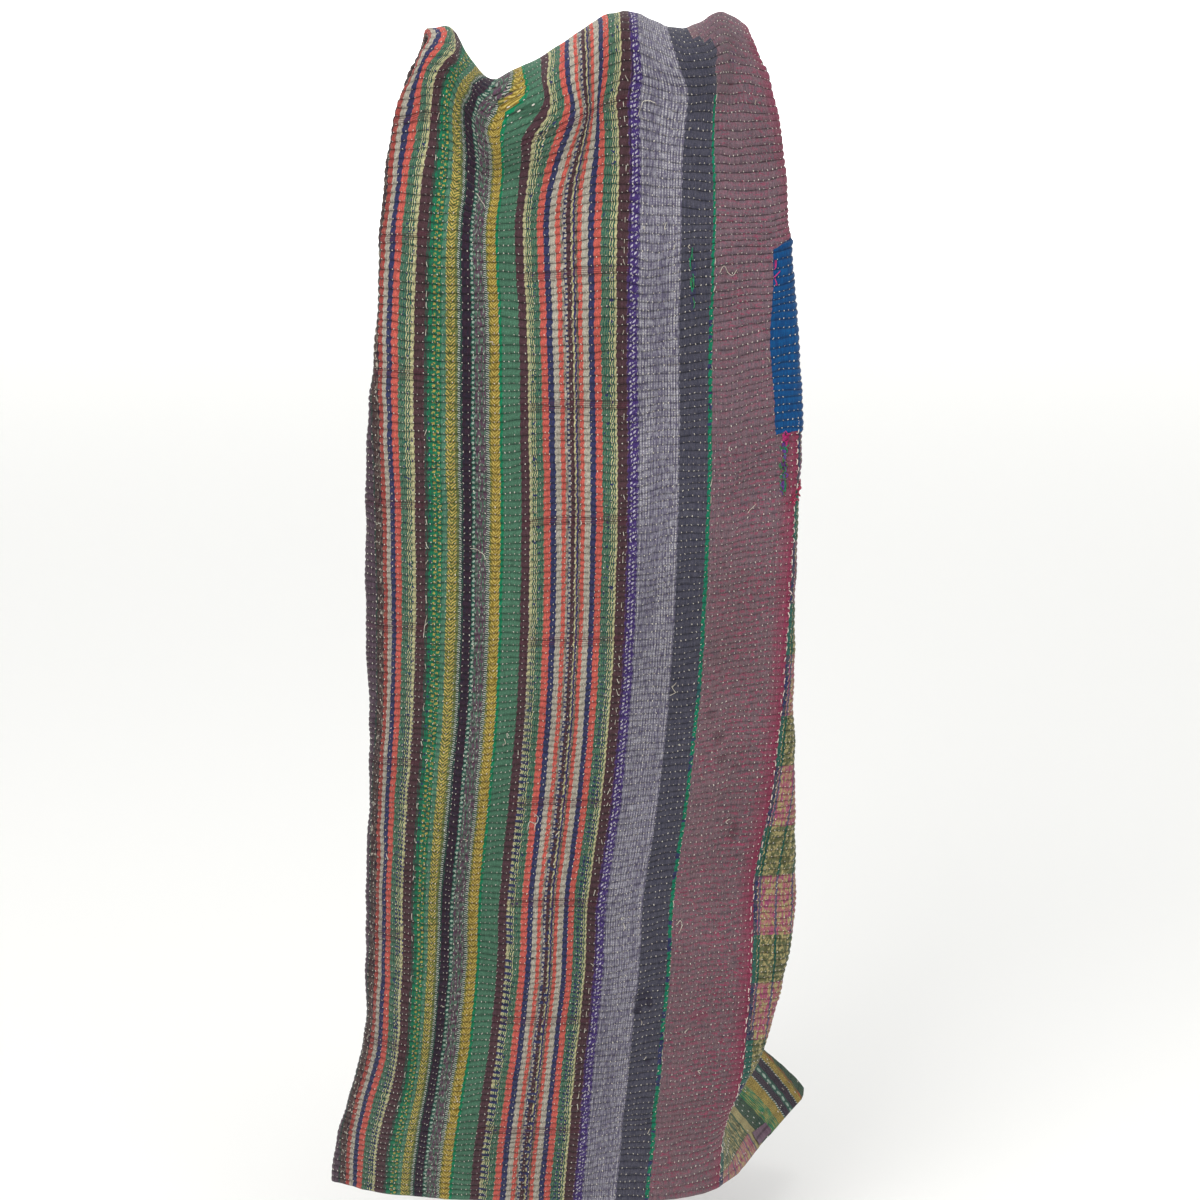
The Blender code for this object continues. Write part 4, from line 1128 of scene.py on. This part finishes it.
# the small mauve piece at the flap's hem
def makeMauvePiece():
    rows, across = np.linspace(0.12, 1.65, 8), np.linspace(0.277, 0.315, 10)
    at, row = np.meshgrid(across, rows)
    row = row - 0.25 * (at - 0.277) / 0.038 * (row - 0.12)
    lift = 0.0010 + 0.0003 * np.cos((row - 0.5) * fullTurn)
    flat = np.stack([at, lengthAt(row)], axis=2)
    lattice = np.stack([at / cloth["linePitch"], row], axis=2)
    mauve = plainCotton("mauveCotton", (98, 74, 90), (116, 92, 106))
    return meshFrom("mauvePiece", onCloth(at, row, lift), gridFaces(8, 10), mauve,
                    {"cloth": flat, "stitch": lattice})


mauvePiece = makeMauvePiece()
print("threads and patches")

# what rides and stands for
for piece in (quiltFront, quiltBack, lining, hemEdge, bluePatch, stitchesFront, stitchesBack,
              looseThreads, edgeStitches, mauvePiece, *darnPieces):
    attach(piece, "root")
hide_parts("quilt")
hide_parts("blue_patch")
clothLong - gridV[frontRows, 0]

# studio
studio = {"floor": -1.36, "world": 0.62, "key": 46, "fill": 8, "top": 14}


def plainStage(name, points, tint, glow=0.0):
    f = bpy.data.materials.new(name)
    f.use_nodes = True
    setInputs(f.node_tree.nodes["Principled BSDF"], {
        "Base Color": ink(*tint), "Roughness": 0.95,
        "Emission Color": (1, 1, 1, 1), "Emission Strength": glow})
    return meshFrom(name, np.array(points, float), [(0, 1, 2, 3)], f)


low = studio["floor"]
floor = plainStage("floor", [(-14, -8, low), (14, -8, low), (14, 9, low), (-14, 9, low)], (252, 252, 250))
upright = [(-14, 9, low), (14, 9, low), (14, 9, 9), (-14, 9, 9)]
backdrop = plainStage("backdrop", upright, (252, 252, 250), 1.0)


def softLight(name, place, target, size, energy, tint=(1, 1, 1)):
    lamp = bpy.data.lights.new(name, "AREA")
    lamp.shape, lamp.energy, lamp.color = "RECTANGLE", energy, tint
    lamp.size, lamp.size_y = size
    made = bpy.data.objects.new(name, lamp)
    scene.collection.objects.link(made)
    made.location = place
    made.rotation_euler = (Vector(target) - Vector(place)).to_track_quat("-Z", "Y").to_euler()


softLight("key", (-1.3, -2.4, 1.5), (0, 0, -0.5), (1.6, 1.6), studio["key"], (1, 0.985, 0.96))
softLight("fill", (2.0, -2.2, 0.2), (0, 0, -0.6), (1.8, 1.8), studio["fill"])
softLight("top", (0.1, -0.5, 1.9), (0, 0, -0.4), (1.6, 0.8), studio["top"])
world = bpy.data.worlds.new("studio")
scene.world = world
world.use_nodes = True
setInputs(world.node_tree.nodes["Background"], {"Color": (1, 1, 1, 1), "Strength": studio["world"]})
scene.view_settings.view_transform = "Standard"

# the camera stands 2.6 m off, above the quilt's middle, and looks down 15 degrees
view = {"target": (0, -0.042, -0.572), "away": 2.6, "pitch": 15, "lens": 78}
camera = bpy.data.objects.new("camera", bpy.data.cameras.new("camera"))
scene.collection.objects.link(camera)
down = math.radians(view["pitch"])
camera.location = (view["target"][0], view["target"][1] - view["away"] * math.cos(down),
                   view["target"][2] + view["away"] * math.sin(down))
camera.rotation_euler = (math.pi / 2 - down, 0, 0)
camera.data.sensor_width, camera.data.lens = 36, view["lens"]
scene.camera = camera
print("studio and camera")
